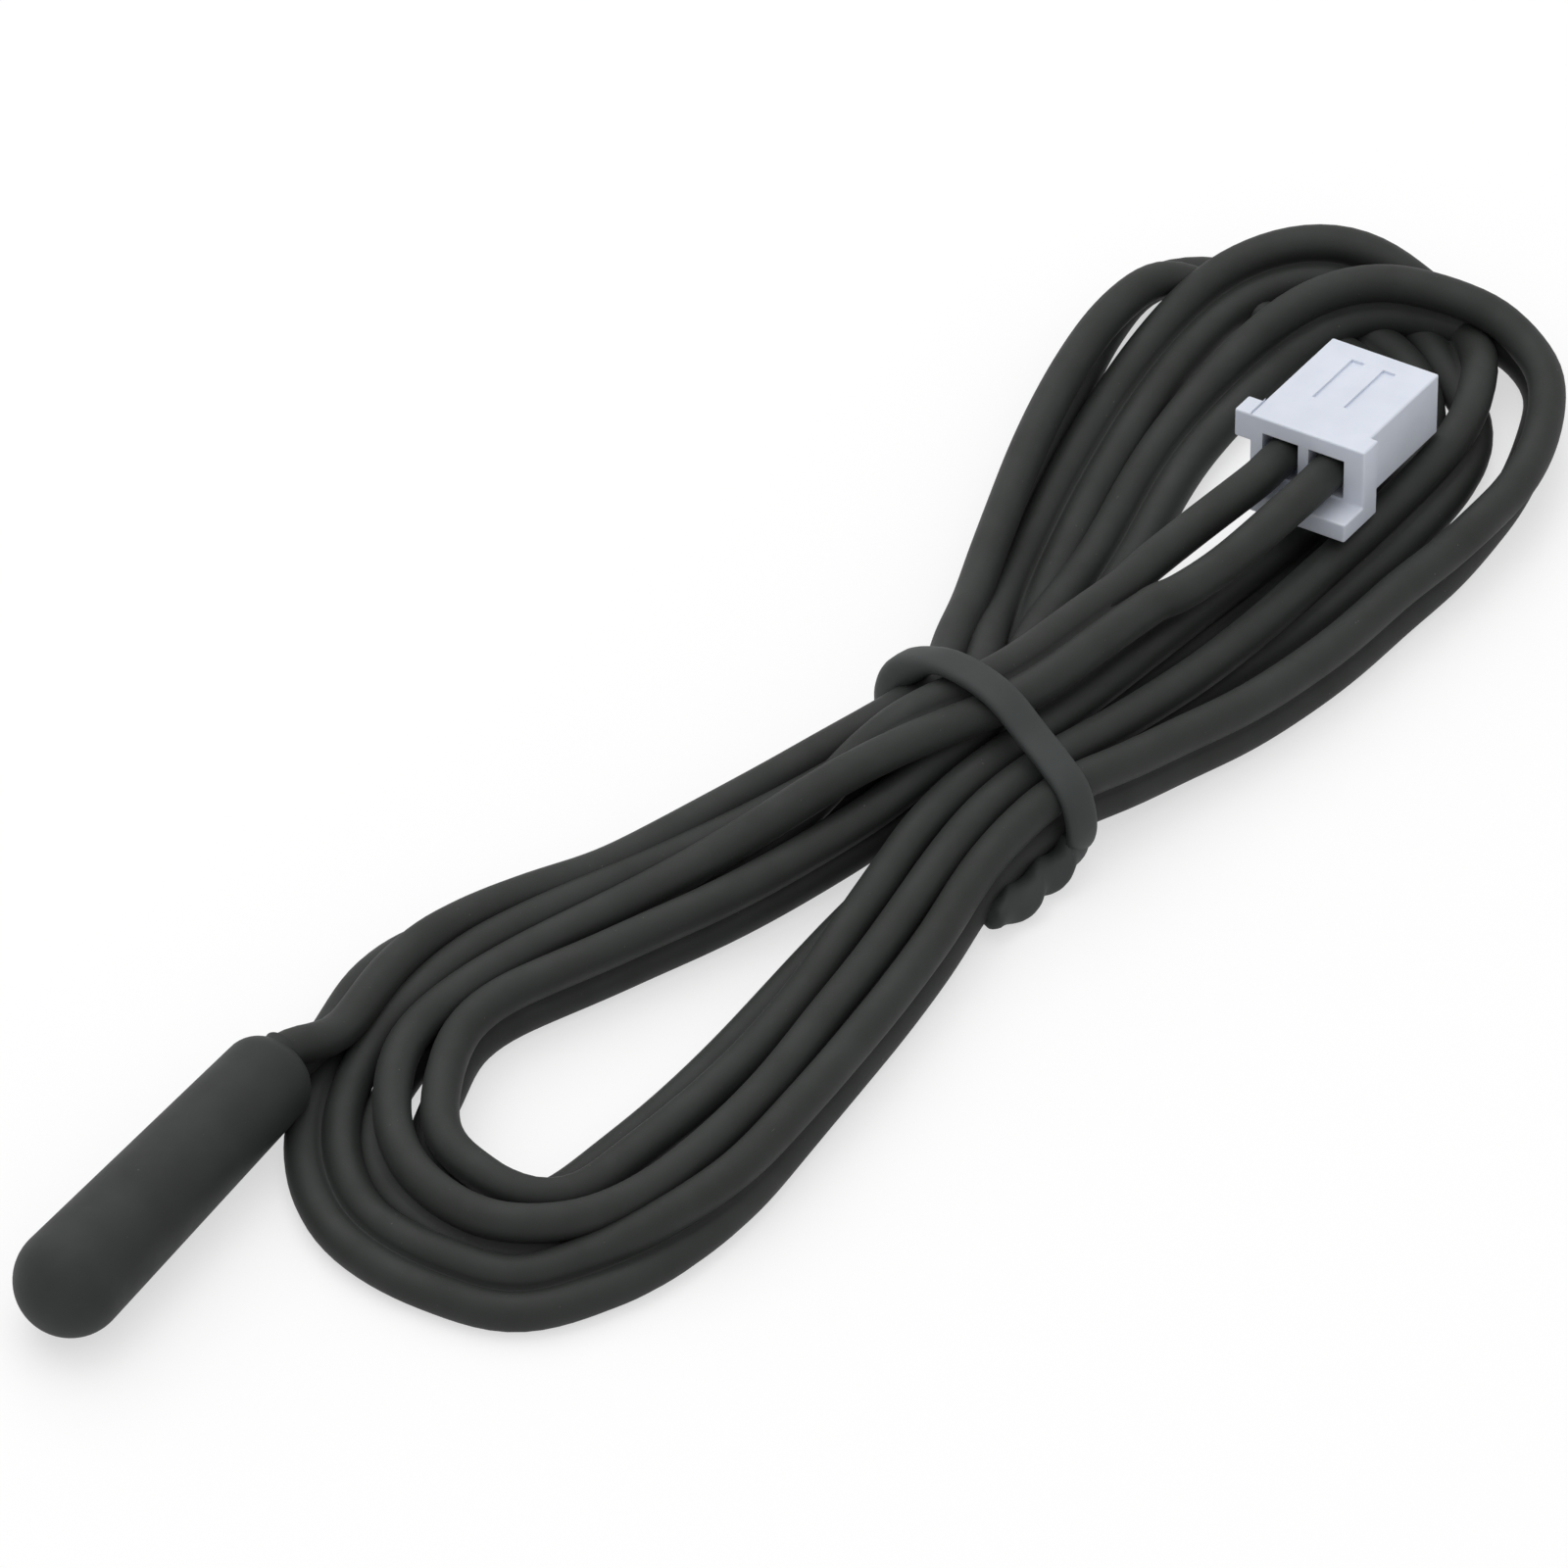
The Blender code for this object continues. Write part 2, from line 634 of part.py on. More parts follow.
def split_core(side, sign, looks, frame):
    """One single core from the tie into its contact, squeezed where the contact grips it, and its bare end."""
    x = sign * PLUG_PITCH / 2
    inside = [(x, -2.2, CONTACT_Z), (x, -1.0, CONTACT_Z), (x, 0.5, CONTACT_Z), (x, 0.9, CONTACT_Z), (x, 1.85, CONTACT_Z)]
    entry = [frame.matrix_world @ (Vector(p) * MM) / MM for p in inside]
    free = hank_to_part(CORE_ROUTES[side])
    line = smooth_through(np.vstack([free, entry[:3]]), CURVE_STEPS)
    points = np.vstack([line, entry[3:]])
    radii = [1.0] * len(line) + [CRIMPED_CORE] * 2
    curve_cord(f"core_{side}", points, radii, looks["jacket"], CORE_D)
    bare = [(x, 1.9, CONTACT_Z), (x, 3.9, CONTACT_Z)]
    curve_cord(f"crimped_end_{side}", bare, [1.0, 1.0], looks["copper"], CONDUCTOR_D, frame, 1)


def build():
    clear_scene()
    looks = {
        "jacket": finish("jacket_black", (0.030, 0.032, 0.031), 0.55),
        "mould": finish("mould_black", (0.032, 0.035, 0.034), 0.5),
        "tie": finish("tie_black", (0.04, 0.042, 0.042), 0.5),
        "resin": finish("inner_resin", (0.06, 0.045, 0.03), 0.4),
        "bead": finish("bead_resin", (0.02, 0.02, 0.02), 0.25),
        "sleeve": finish("sleeve_amber", (0.35, 0.16, 0.03), 0.35),
        "tinned": finish("tinned_metal", (0.62, 0.61, 0.58), 0.35, 1.0),
        "copper": finish("copper_strands", (0.72, 0.38, 0.2), 0.4, 1.0),
        "white": finish("housing_white", (0.72, 0.75, 0.82), 0.42),
    }
    head = empty("head_frame", Matrix.Translation((0, 0, HEAD_AXIS_Z * MM)) @ Matrix.Rotation(math.pi / 2, 4, "X"))
    plug = empty("plug_frame", plug_matrix())
    bpy.context.view_layer.update()
    head_mould(looks["mould"], head)
    inner_mould(looks["resin"], head)
    bead(looks["bead"], head)
    for side, sign in (("left", 1), ("right", -1)):
        joint_side(side, sign, looks, head)
    flat_lead("head_lead", np.vstack([HEAD_ROUTE, hank_to_part(EXIT_ROUTE)]), looks["jacket"], on_edge=True)
    cable_hank(looks["jacket"])
    flat_lead("tail_lead", hank_to_part(TAIL_ROUTE), looks["jacket"])
    tie_band(looks["tie"])
    plug_housing(looks["white"], plug)
    for side, sign in (("left", -1), ("right", 1)):
        plug_contact(side, sign, looks["tinned"], plug)
        split_core(side, sign, looks, plug)


build()
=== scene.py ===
# %% [markdown]
# # A bead thermistor probe on a tied lead
# The probe is a small sensor: a bead thermistor hidden in a black moulded bullet, on a flat two-core lead
# that ends in a white two-way plug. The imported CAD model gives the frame. This lesson dresses it: the lead
# is wound strand by strand, the head, the single cores and the tie are made again with round edges, and
# each finish is mixed from nodes.

import math

import bmesh
import bpy
import numpy as np
from mathutils import Matrix, Vector


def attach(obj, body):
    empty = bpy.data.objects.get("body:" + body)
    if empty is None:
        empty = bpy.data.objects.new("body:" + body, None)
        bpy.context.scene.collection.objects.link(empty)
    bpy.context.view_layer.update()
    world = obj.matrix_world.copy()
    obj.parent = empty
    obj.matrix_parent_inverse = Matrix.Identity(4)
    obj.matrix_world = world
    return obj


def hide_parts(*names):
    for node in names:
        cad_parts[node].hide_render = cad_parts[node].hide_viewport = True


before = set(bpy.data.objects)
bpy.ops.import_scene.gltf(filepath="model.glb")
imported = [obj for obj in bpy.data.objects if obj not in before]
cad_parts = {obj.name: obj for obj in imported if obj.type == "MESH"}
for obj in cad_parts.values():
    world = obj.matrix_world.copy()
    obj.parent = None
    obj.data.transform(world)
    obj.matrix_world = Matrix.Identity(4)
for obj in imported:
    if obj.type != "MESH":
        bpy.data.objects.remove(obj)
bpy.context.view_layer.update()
MM = 0.001
print("nodes in the frame:", len(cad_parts))

# %% [markdown]
# ## Camera
# The photograph looks down at 45 degrees with a long lens, so parallel edges stay nearly parallel. A camera
# well back, with a narrow view, gives the same drawing of the object.

# %% Camera at the photograph's angle
LOOK_AT = Vector((39.6, -7.2, 0.0)) * MM
CAMERA_DISTANCE = 0.700
CAMERA_ELEVATION = math.radians(45.0)
LOOK_AZIMUTH = math.radians(34.3)
LENS = 346.5


def camera_place(target, distance, elevation, azimuth):
    """The target minus the look direction times the distance; the look direction dips by the elevation."""
    flat = math.cos(elevation)
    look = Vector((flat * math.cos(azimuth), flat * math.sin(azimuth), -math.sin(elevation)))
    return target - look * distance


camera_data = bpy.data.cameras.new("camera")
camera_data.lens = LENS
camera_data.sensor_width = 36.0
camera_data.clip_end = 10.0
camera = bpy.data.objects.new("camera", camera_data)
camera.location = camera_place(LOOK_AT, CAMERA_DISTANCE, CAMERA_ELEVATION, LOOK_AZIMUTH)
camera.rotation_euler = (math.pi / 2 - CAMERA_ELEVATION, 0.0, LOOK_AZIMUTH - math.pi / 2)
bpy.context.collection.objects.link(camera)
bpy.context.scene.camera = camera
bpy.context.scene.view_settings.view_transform = "Standard"
print("camera at", [round(c, 4) for c in camera.location])

# %% [markdown]
# ## Small helpers
# Each new piece is a grid of points: rings of one section carried along a line. One helper turns such a
# grid into a mesh with whole arrays, and one draws a smooth curve through given points.

# %% Curve and grid helpers
HANK_MIDDLE = (42.9, -16.2)
HANK_TURN = math.radians(-15.1)


def hank_to_part(points):
    """Turns (u, v, z) points of the hank's frame about Z and moves them to its middle, in millimetres."""
    p = np.asarray(points, float)
    c = math.cos(HANK_TURN)
    s = math.sin(HANK_TURN)
    x = HANK_MIDDLE[0] + c * p[:, 0] - s * p[:, 1]
    y = HANK_MIDDLE[1] + s * p[:, 0] + c * p[:, 1]
    return np.column_stack([x, y, p[:, 2]])


def smooth_through(points, steps, closed=False):
    """Catmull-Rom curve: cubics whose slope at a point is half the step between its two neighbours."""
    p = np.asarray(points, float)
    if closed:
        p = np.vstack([p[-1], p, p[:2]])
    else:
        p = np.vstack([2 * p[0] - p[1], p, 2 * p[-1] - p[-2]])
    t = (np.arange(steps) / steps)[None, :, None]
    a = p[:-3, None]
    b = p[1:-2, None]
    c = p[2:-1, None]
    d = p[3:, None]
    curve = 0.5 * (2 * b + (c - a) * t + (2 * a - 5 * b + 4 * c - d) * t**2 + (3 * b - a - 3 * c + d) * t**3)
    line = curve.reshape(-1, p.shape[1])
    return line if closed else np.vstack([line, p[-2]])


def even_spacing(line, step):
    """Points at even distances of about one step along the line, by linear interpolation."""
    gaps = np.linalg.norm(np.diff(line[:, :3], axis=0), axis=1)
    walked = np.concatenate([[0.0], np.cumsum(gaps)])
    count = max(int(round(walked[-1] / step)), 2)
    stops = np.linspace(0.0, walked[-1], count + 1)
    return np.column_stack([np.interp(stops, walked, line[:, i]) for i in range(line.shape[1])])


def softened(line, passes):
    """Each inner point moves to half of itself and a quarter of each neighbour, a few times over."""
    out = line.copy()
    for _ in range(passes):
        out[1:-1] = 0.25 * out[:-2] + 0.5 * out[1:-1] + 0.25 * out[2:]
    return out


def directions(line):
    """Unit vectors along the line, from each point's two neighbours."""
    way = np.gradient(line, axis=0)
    return way / np.linalg.norm(way, axis=1)[:, None]


def grid_faces(rows, columns, closed_rows=False):
    """Quads between neighbouring rows of a grid whose columns run in a loop."""
    last = rows if closed_rows else rows - 1
    r, c = np.meshgrid(np.arange(last), np.arange(columns), indexing="ij")
    r2 = (r + 1) % rows
    c2 = (c + 1) % columns
    quads = np.stack([r * columns + c, r * columns + c2, r2 * columns + c2, r2 * columns + c], axis=-1)
    return quads.reshape(-1, 4)


def mesh_piece(name, rings, closed_rows=False, smooth_angle=60.0):
    """Skins rings, shape (rows, columns, 3) in millimetres, closes open ends and shades the piece smooth."""
    rows, columns = rings.shape[:2]
    points = rings.reshape(-1, 3) * MM
    faces = grid_faces(rows, columns, closed_rows).tolist()
    if not closed_rows:
        faces.append(list(range(columns))[::-1])
        faces.append(list(range((rows - 1) * columns, rows * columns)))
    mesh = bpy.data.meshes.new(name)
    mesh.from_pydata(points.tolist(), [], faces)
    bm = bmesh.new()
    bm.from_mesh(mesh)
    bmesh.ops.recalc_face_normals(bm, faces=bm.faces)
    bm.to_mesh(mesh)
    bm.free()
    mesh.shade_smooth()
    mesh.set_sharp_from_angle(angle=math.radians(smooth_angle))
    piece = bpy.data.objects.new(name, mesh)
    bpy.context.collection.objects.link(piece)
    return piece


def ring_map(piece, rows, columns, length, girth):
    """Writes a UV map: U runs along the piece in its own length, V round it, both in metres."""
    mesh = piece.data
    layer = mesh.uv_layers.new(name="along")
    corner = np.empty(len(mesh.loops), dtype=np.int64)
    mesh.loops.foreach_get("vertex_index", corner)
    row = np.minimum(corner // columns, rows - 1)
    column = corner % columns
    uv = np.column_stack([row / (rows - 1) * length, column / columns * girth])
    layer.data.foreach_set("uv", uv.ravel())


print("helpers ready")

# %% [markdown]
# ## The lead's route
# The lead is one length of flat two-core cable. From the head it joins the bundle, and then runs three
# turns round two loops, one at the head's end and one at the plug's end, through the tie in the middle. The
# route is a list of points in the hank's own frame: u along the hank, v across it, z up, and the roll of
# the lead about its line. At roll 0 the lead stands on edge, with one core above the other. At -90 or 90 it
# lies flat, with its cores side by side. A positive roll leans the upper core out of the loop, a negative
# one leans it in. Listed points suit this, because a wound lead has no formula: each turn leans, crosses
# and dives as the winder's fingers did. The points were fitted to the outline of the hank, and where turns
# cross, their strands run into each other.

# %% Route from the head to the tie

# From inside the head to just behind it, in the part's frame
HEAD_STRETCH = (
    (4.3, 0.0, 2.6),
    (7.0, 0.0, 2.6),
    (10.2, 0.0, 2.6),
)

# From the head to the tie
JOINING = (
    (-33.9, 6.90, 2.15, -34),
    (-31.9, 7.58, 2.40, -40),
    (-29.3, 8.62, 2.55, -45),
    (-26.2, 9.05, 2.40, -35),
    (-23.4, 8.78, 2.10, -22),
    (-20.5, 8.08, 1.92, -10),
    (-17.5, 7.00, 1.90, 0),
    (-14.5, 6.60, 2.00, 0),
    (-11.5, 6.25, 2.20, 0),
    (-8.0, 5.85, 2.45, 0),
    (-4.5, 5.50, 2.75, 0),
    (-1.5, 5.18, 3.00, 0),
    (1.6, 5.30, 3.05, 0),
)
print("from the head:", len(HEAD_STRETCH) + len(JOINING), "points")

# %% First turn

# First turn at the plug's end: outside on the way out, under the other two at the end, inside on the way back
TURN_1_FAR = (
    (4.2, 7.25, 2.60, 0),
    (6.8, 8.95, 2.00, 0),
    (9.4, 10.83, 1.82, 0),
    (12.6, 13.00, 1.80, 0),
    (15.6, 15.00, 1.80, 0),
    (18.8, 16.90, 1.80, 0),
    (22.2, 18.62, 1.80, 0),
    (25.6, 20.15, 1.75, -15),
    (29.25, 20.95, 1.55, -42),
    (31.7, 19.10, 1.05, -75),
    (32.6, 16.40, 0.92, -90),
    (33.5, 13.80, 0.92, -90),
    (34.0, 11.40, 0.92, -90),
    (33.9, 9.20, 0.92, -90),
    (33.0, 7.20, 0.92, -88),
    (31.5, 5.60, 0.92, -84),
    (29.2, 4.30, 0.95, -78),
    (26.0, 3.30, 1.00, -70),
    (22.2, 2.60, 1.10, -60),
    (18.2, 2.10, 1.35, -38),
    (14.4, 1.75, 1.65, -15),
    (10.4, 1.30, 1.95, 0),
    (6.0, 0.45, 2.45, 0),
    (1.6, -0.20, 3.00, 0),
)

# First turn at the head's end: innermost
TURN_1_NEAR = (
    (-1.5, -0.40, 2.90, 0),
    (-4.7, -0.85, 2.55, 5),
    (-8.2, -1.80, 2.10, 20),
    (-11.65, -2.78, 1.80, 36),
    (-15.2, -3.90, 1.55, 50),
    (-19.6, -5.15, 1.45, 56),
    (-24.0, -6.08, 1.48, 54),
    (-27.95, -6.62, 1.55, 52),
    (-31.15, -6.95, 1.62, 50),
    (-33.1, -5.78, 1.76, 22),
    (-33.95, -3.60, 1.80, -12),
    (-34.0, -1.40, 1.77, -20),
    (-32.8, 0.42, 1.78, -18),
    (-30.7, 1.98, 1.82, 0),
    (-28.75, 3.30, 1.82, 0),
    (-26.5, 3.80, 1.82, 0),
    (-24.0, 3.52, 1.82, 0),
    (-21.0, 2.98, 1.82, 0),
    (-18.2, 2.58, 1.82, 0),
    (-15.7, 2.16, 1.85, 0),
    (-12.7, 1.76, 1.95, 0),
    (-8.8, 1.48, 2.15, 0),
    (-5.0, 1.30, 2.50, 0),
    (-1.6, 1.60, 2.90, 0),
    (1.6, 1.70, 3.00, 0),
)
print("first turn:", len(TURN_1_FAR) + len(TURN_1_NEAR), "points")

# %% Second turn

# Second turn at the plug's end: inside on the way out, over the first, outermost on the way back
TURN_2_FAR = (
    (5.4, 3.75, 2.40, 15),
    (9.4, 5.75, 1.60, 50),
    (12.8, 7.25, 1.05, 78),
    (16.2, 8.80, 0.95, 88),
    (19.3, 10.45, 0.95, 90),
    (22.3, 11.85, 0.95, 88),
    (25.4, 12.85, 1.10, 80),
    (28.2, 13.35, 1.55, 66),
    (30.5, 13.55, 2.05, 48),
    (32.7, 13.40, 2.50, 32),
    (34.6, 12.75, 2.70, 20),
    (36.1, 11.75, 2.72, 12),
    (37.25, 10.12, 2.58, 6),
    (38.3, 8.55, 2.35, 0),
    (38.88, 6.80, 2.10, -6),
    (38.75, 4.95, 1.90, -10),
    (38.1, 3.20, 1.82, 0),
    (36.5, 1.68, 1.78, 14),
    (34.4, 0.14, 1.75, 20),
    (31.75, -1.20, 1.75, 20),
    (28.9, -2.06, 1.78, 12),
    (26.0, -2.76, 1.80, 5),
    (23.1, -3.12, 1.80, 0),
    (19.0, -3.88, 1.80, 0),
    (15.5, -4.22, 1.85, 0),
    (12.0, -4.32, 1.95, 0),
    (8.5, -4.08, 2.20, 0),
    (5.0, -4.00, 2.60, 0),
    (1.6, -3.70, 3.00, 0),
)

# Second turn at the head's end: outermost, flat round the end, back beside the stretch from the head
TURN_2_NEAR = (
    (-1.4, -3.95, 2.75, 0),
    (-4.6, -4.62, 2.20, 0),
    (-8.15, -6.15, 1.90, 0),
    (-12.35, -7.75, 1.82, 0),
    (-16.1, -9.02, 1.82, 0),
    (-20.3, -10.35, 1.82, -3),
    (-25.0, -11.65, 1.78, -12),
    (-29.8, -11.80, 1.55, -35),
    (-33.25, -11.05, 1.20, -62),
    (-36.5, -9.75, 1.05, -70),
    (-38.1, -6.85, 1.08, -70),
    (-38.95, -4.42, 1.05, -74),
    (-39.2, -1.45, 0.97, -84),
    (-38.2, 1.50, 1.05, -78),
    (-36.4, 3.90, 1.10, -74),
    (-34.0, 5.75, 1.15, -66),
    (-31.05, 6.95, 1.35, -48),
    (-28.0, 7.10, 1.60, -25),
    (-25.0, 7.00, 1.80, -5),
    (-21.5, 6.60, 1.82, 0),
    (-18.2, 6.10, 1.82, 0),
    (-15.0, 5.50, 1.86, 0),
    (-11.5, 4.90, 2.00, 0),
    (-8.0, 4.35, 2.25, 0),
    (-4.5, 3.85, 2.65, 0),
    (-1.5, 3.55, 2.95, 0),
    (1.6, 3.50, 3.05, 0),
)
print("second turn:", len(TURN_2_FAR) + len(TURN_2_NEAR), "points")

# %% Third turn and last stretch

# Third turn at the plug's end: in the middle, over the first and under the second
TURN_3_FAR = (
    (4.9, 5.30, 2.50, 20),
    (7.9, 7.40, 1.60, 60),
    (10.8, 9.40, 1.00, 86),
    (13.7, 11.15, 0.95, 90),
    (16.6, 12.80, 0.95, 90),
    (19.7, 14.40, 0.95, 90),
    (22.6, 15.75, 1.00, 90),
    (25.3, 16.80, 1.15, 84),
    (28.0, 17.55, 1.45, 74),
    (30.8, 17.95, 1.85, 62),
    (33.55, 17.50, 2.10, 52),
    (35.45, 16.42, 2.25, 44),
    (36.78, 14.82, 2.15, 42),
    (37.4, 12.70, 1.60, 60),
    (37.7, 10.50, 1.10, 82),
    (37.0, 8.35, 1.15, 72),
    (36.15, 6.45, 1.50, 40),
    (34.9, 4.65, 1.82, 5),
    (33.1, 3.00, 1.85, -15),
    (30.5, 1.80, 1.90, -30),
    (27.6, 1.00, 1.85, -42),
    (24.6, 0.35, 1.80, -42),
    (21.0, -0.25, 1.80, -30),
    (17.0, -0.85, 1.82, -15),
    (12.5, -1.25, 1.90, 0),
    (8.0, -1.60, 2.20, 0),
    (4.6, -1.85, 2.65, 0),
    (1.6, -1.95, 3.00, 0),
)

# Third turn at the head's end: in the middle, then up on to the bundle at the tie
TURN_3_NEAR = (
    (-1.5, -2.15, 2.85, 0),
    (-4.8, -2.90, 2.40, 0),
    (-8.3, -4.15, 2.00, 0),
    (-12.0, -5.55, 1.84, 0),
    (-16.0, -6.75, 1.82, 10),
    (-20.0, -8.05, 1.80, 16),
    (-24.0, -9.12, 1.80, 12),
    (-28.0, -9.75, 1.80, 6),
    (-31.5, -9.50, 1.80, 0),
    (-34.2, -8.15, 1.80, -12),
    (-35.75, -6.30, 1.75, -22),
    (-36.3, -3.90, 1.73, -24),
    (-36.25, -1.50, 1.70, -30),
    (-35.2, 1.00, 1.72, -28),
    (-33.35, 2.95, 1.78, -15),
    (-31.0, 4.40, 1.82, 4),
    (-28.2, 5.15, 1.82, 0),
    (-25.2, 5.30, 1.82, 0),
    (-22.0, 5.10, 1.82, 0),
    (-19.0, 4.75, 1.85, 0),
    (-15.8, 4.30, 2.05, 0),
    (-12.6, 3.75, 2.60, 0),
    (-9.8, 3.35, 3.40, -10),
    (-7.0, 3.15, 4.30, -30),
    (-4.2, 2.95, 5.05, -60),
    (-1.4, 2.55, 5.50, -85),
    (1.6, 1.85, 5.62, -90),
)

# Last stretch, flat on the bundle, to where the cores part
TAIL = (
    (4.0, 1.70, 5.60, -90),
    (6.2, 1.88, 5.55, -90),
    (8.4, 2.20, 5.42, -90),
    (10.4, 2.47, 5.22, -90),
    (12.0, 2.70, 5.05, -90),
)
print("third turn and tail:", len(TURN_3_FAR) + len(TURN_3_NEAR) + len(TAIL), "points")

# %% One even line through all the points
ROUTE_STEPS = 10
ROUTE_SPACING = 0.6
ROUTE_PASSES = 6

head_points = np.asarray(HEAD_STRETCH, float)
wound = np.vstack([JOINING, TURN_1_FAR, TURN_1_NEAR, TURN_2_FAR, TURN_2_NEAR, TURN_3_FAR, TURN_3_NEAR, TAIL])
head_rows = np.column_stack([head_points, np.zeros(len(head_points))])
wound_rows = np.column_stack([hank_to_part(wound[:, :3]), wound[:, 3]])
route = smooth_through(np.vstack([head_rows, wound_rows]), ROUTE_STEPS)
route = even_spacing(route, ROUTE_SPACING)
route = softened(route, ROUTE_PASSES)
LEAD_LENGTH = float(np.linalg.norm(np.diff(route[:, :3], axis=0), axis=1).sum())
print("lead route:", len(route), "points,", round(LEAD_LENGTH, 1), "mm")

# %% [markdown]
# ## The lead's surface
# The jacket's section is two round cores side by side with a shallow valley between them. It could be a
# Blender curve with a bevel shape, but a twist that follows the winding is easier to set as numbers, so the
# section is carried along the route as one grid. At its end each core narrows and stops inside the single
# core that goes on from it.

# %% Sweep the twin section along the route
CORE_D = 1.8
CORE_R = CORE_D / 2
WEB_HALF = 0.30
SECTION_STEPS = 9
END_STEPS = 4
END_SHRINK = (0.99, 0.80)
LEAD_GIRTH = 0.011


def twin_section(steps):
    """Two circles that meet in a web: each is walked from one valley round to the other."""
    opening = math.asin(WEB_HALF / CORE_R)
    sweep = np.linspace(-math.pi + opening, math.pi - opening, 2 * steps + 1)
    right = np.column_stack([CORE_R + CORE_R * np.cos(sweep), CORE_R * np.sin(sweep)])
    left = -right
    return np.vstack([right, left])


def twin_sweep(line, rolls, section):
    """The section at each point: its wide axis is up, turned outwards by the roll, its thin axis across."""
    way = directions(line)
    up = np.array([0.0, 0.0, 1.0])
    outward = np.cross(up, way)
    outward /= np.linalg.norm(outward, axis=1)[:, None]
    true_up = np.cross(way, outward)
    angle = np.radians(rolls)[:, None]
    wide = np.cos(angle) * true_up + np.sin(angle) * outward
    thin = np.cross(way, wide)
    placed = line[:, None, :] + wide[:, None, :] * section[None, :, :1]
    return placed + thin[:, None, :] * section[None, :, 1:]


section = twin_section(SECTION_STEPS)
centres = np.column_stack([np.sign(section[:, 0]) * CORE_R, np.zeros(len(section))])
lead_rings = twin_sweep(route[:, :3], route[:, 3], section)
thin_rings = twin_sweep(route[:, :3], route[:, 3], centres)
shrink = np.ones(len(route))
shrink[-END_STEPS:] = np.linspace(*END_SHRINK, END_STEPS)
lead_rings = thin_rings + (lead_rings - thin_rings) * shrink[:, None, None]
lead_rings[..., 2] = np.maximum(lead_rings[..., 2], 0.0)
lead = mesh_piece("twin_lead", lead_rings, smooth_angle=80.0)
ring_map(lead, len(route), len(section), LEAD_LENGTH * MM, LEAD_GIRTH)
print("lead faces:", len(lead.data.polygons))
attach(lead, "root")
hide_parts("head_lead", "cable_hank", "tail_lead")

# %% [markdown]
# ## Materials
# Black cable is not black paint: it is soft vinyl with a faint dust, a slow change of gloss where fingers
# touched it, and a fine grain from the die. All finishes here are built from noise in object coordinates,
# which stay on the piece.

# %% Finish helpers


def new_look(name):
    """A Principled material with its node tree, links and shader."""
    made = bpy.data.materials.new(name)
    made.use_nodes = True
    return made, made.node_tree, made.node_tree.nodes["Principled BSDF"]


def noise(tree, scale, detail=4.0, roughness=0.55):
    """A noise pattern in object coordinates."""
    place = tree.nodes.new("ShaderNodeTexCoord")
    pattern = tree.nodes.new("ShaderNodeTexNoise")
    pattern.inputs["Scale"].default_value = scale
    pattern.inputs["Detail"].default_value = detail
    pattern.inputs["Roughness"].default_value = roughness
    tree.links.new(place.outputs["Object"], pattern.inputs["Vector"])
    return pattern.outputs["Fac"]


def spread(tree, source, low, high, to_low, to_high):
    """Maps a band of the source onto a range of values."""
    node = tree.nodes.new("ShaderNodeMapRange")
    node.inputs["From Min"].default_value = low
    node.inputs["From Max"].default_value = high
    node.inputs["To Min"].default_value = to_low
    node.inputs["To Max"].default_value = to_high
    tree.links.new(source, node.inputs["Value"])
    return node.outputs["Result"]


def ramp(tree, source, stops):
    """A colour ramp between two (place, colour) stops."""
    node = tree.nodes.new("ShaderNodeValToRGB")
    for element, (place, colour) in zip(node.color_ramp.elements, stops):
        element.position = place
        element.color = (*colour, 1.0)
    tree.links.new(source, node.inputs["Fac"])
    return node.outputs["Color"]


def bumped(tree, shader, source, strength, distance):
    """Drives the shader's normal from a height pattern."""
    node = tree.nodes.new("ShaderNodeBump")
    node.inputs["Strength"].default_value = strength
    node.inputs["Distance"].default_value = distance
    tree.links.new(source, node.inputs["Height"])
    tree.links.new(node.outputs["Normal"], shader.inputs["Normal"])


def mixed_colour(tree, factor, first, second):
    """Blends two colours by a factor; either may be a socket."""
    node = tree.nodes.new("ShaderNodeMix")
    node.data_type = "RGBA"
    tree.links.new(factor, node.inputs["Factor"])
    for socket, value in ((node.inputs["A"], first), (node.inputs["B"], second)):
        if isinstance(value, tuple):
            socket.default_value = (*value, 1.0)
        else:
            tree.links.new(value, socket)
    return node.outputs["Result"]


print("finish helpers ready")

# %% Black vinyl for the lead, the head and the tie
DUST_TONE = (0.20, 0.19, 0.17)
VINYL_SPECULAR = 0.30


def black_vinyl(name, dark, light, rough_low, rough_high, grain_scale, grain_depth):
    """Dark base that drifts between two tones, a dust of pale specks, uneven gloss and a fine grain."""
    made, tree, shader = new_look(name)
    tone = ramp(tree, noise(tree, scale=260.0, detail=3.0), [(0.35, dark), (0.65, light)])
    dust = noise(tree, scale=5200.0, detail=2.0, roughness=0.5)
    specks = spread(tree, dust, low=0.755, high=0.80, to_low=0.0, to_high=0.35)
    tree.links.new(mixed_colour(tree, specks, tone, DUST_TONE), shader.inputs["Base Color"])
    uneven = noise(tree, scale=420.0)
    gloss = spread(tree, uneven, low=0.3, high=0.7, to_low=rough_low, to_high=rough_high)
    tree.links.new(gloss, shader.inputs["Roughness"])
    grain = noise(tree, scale=grain_scale, detail=5.0, roughness=0.6)
    bumped(tree, shader, grain, strength=0.35, distance=grain_depth)
    shader.inputs["IOR"].default_value = 1.5
    shader.inputs["Specular IOR Level"].default_value = VINYL_SPECULAR
    return made


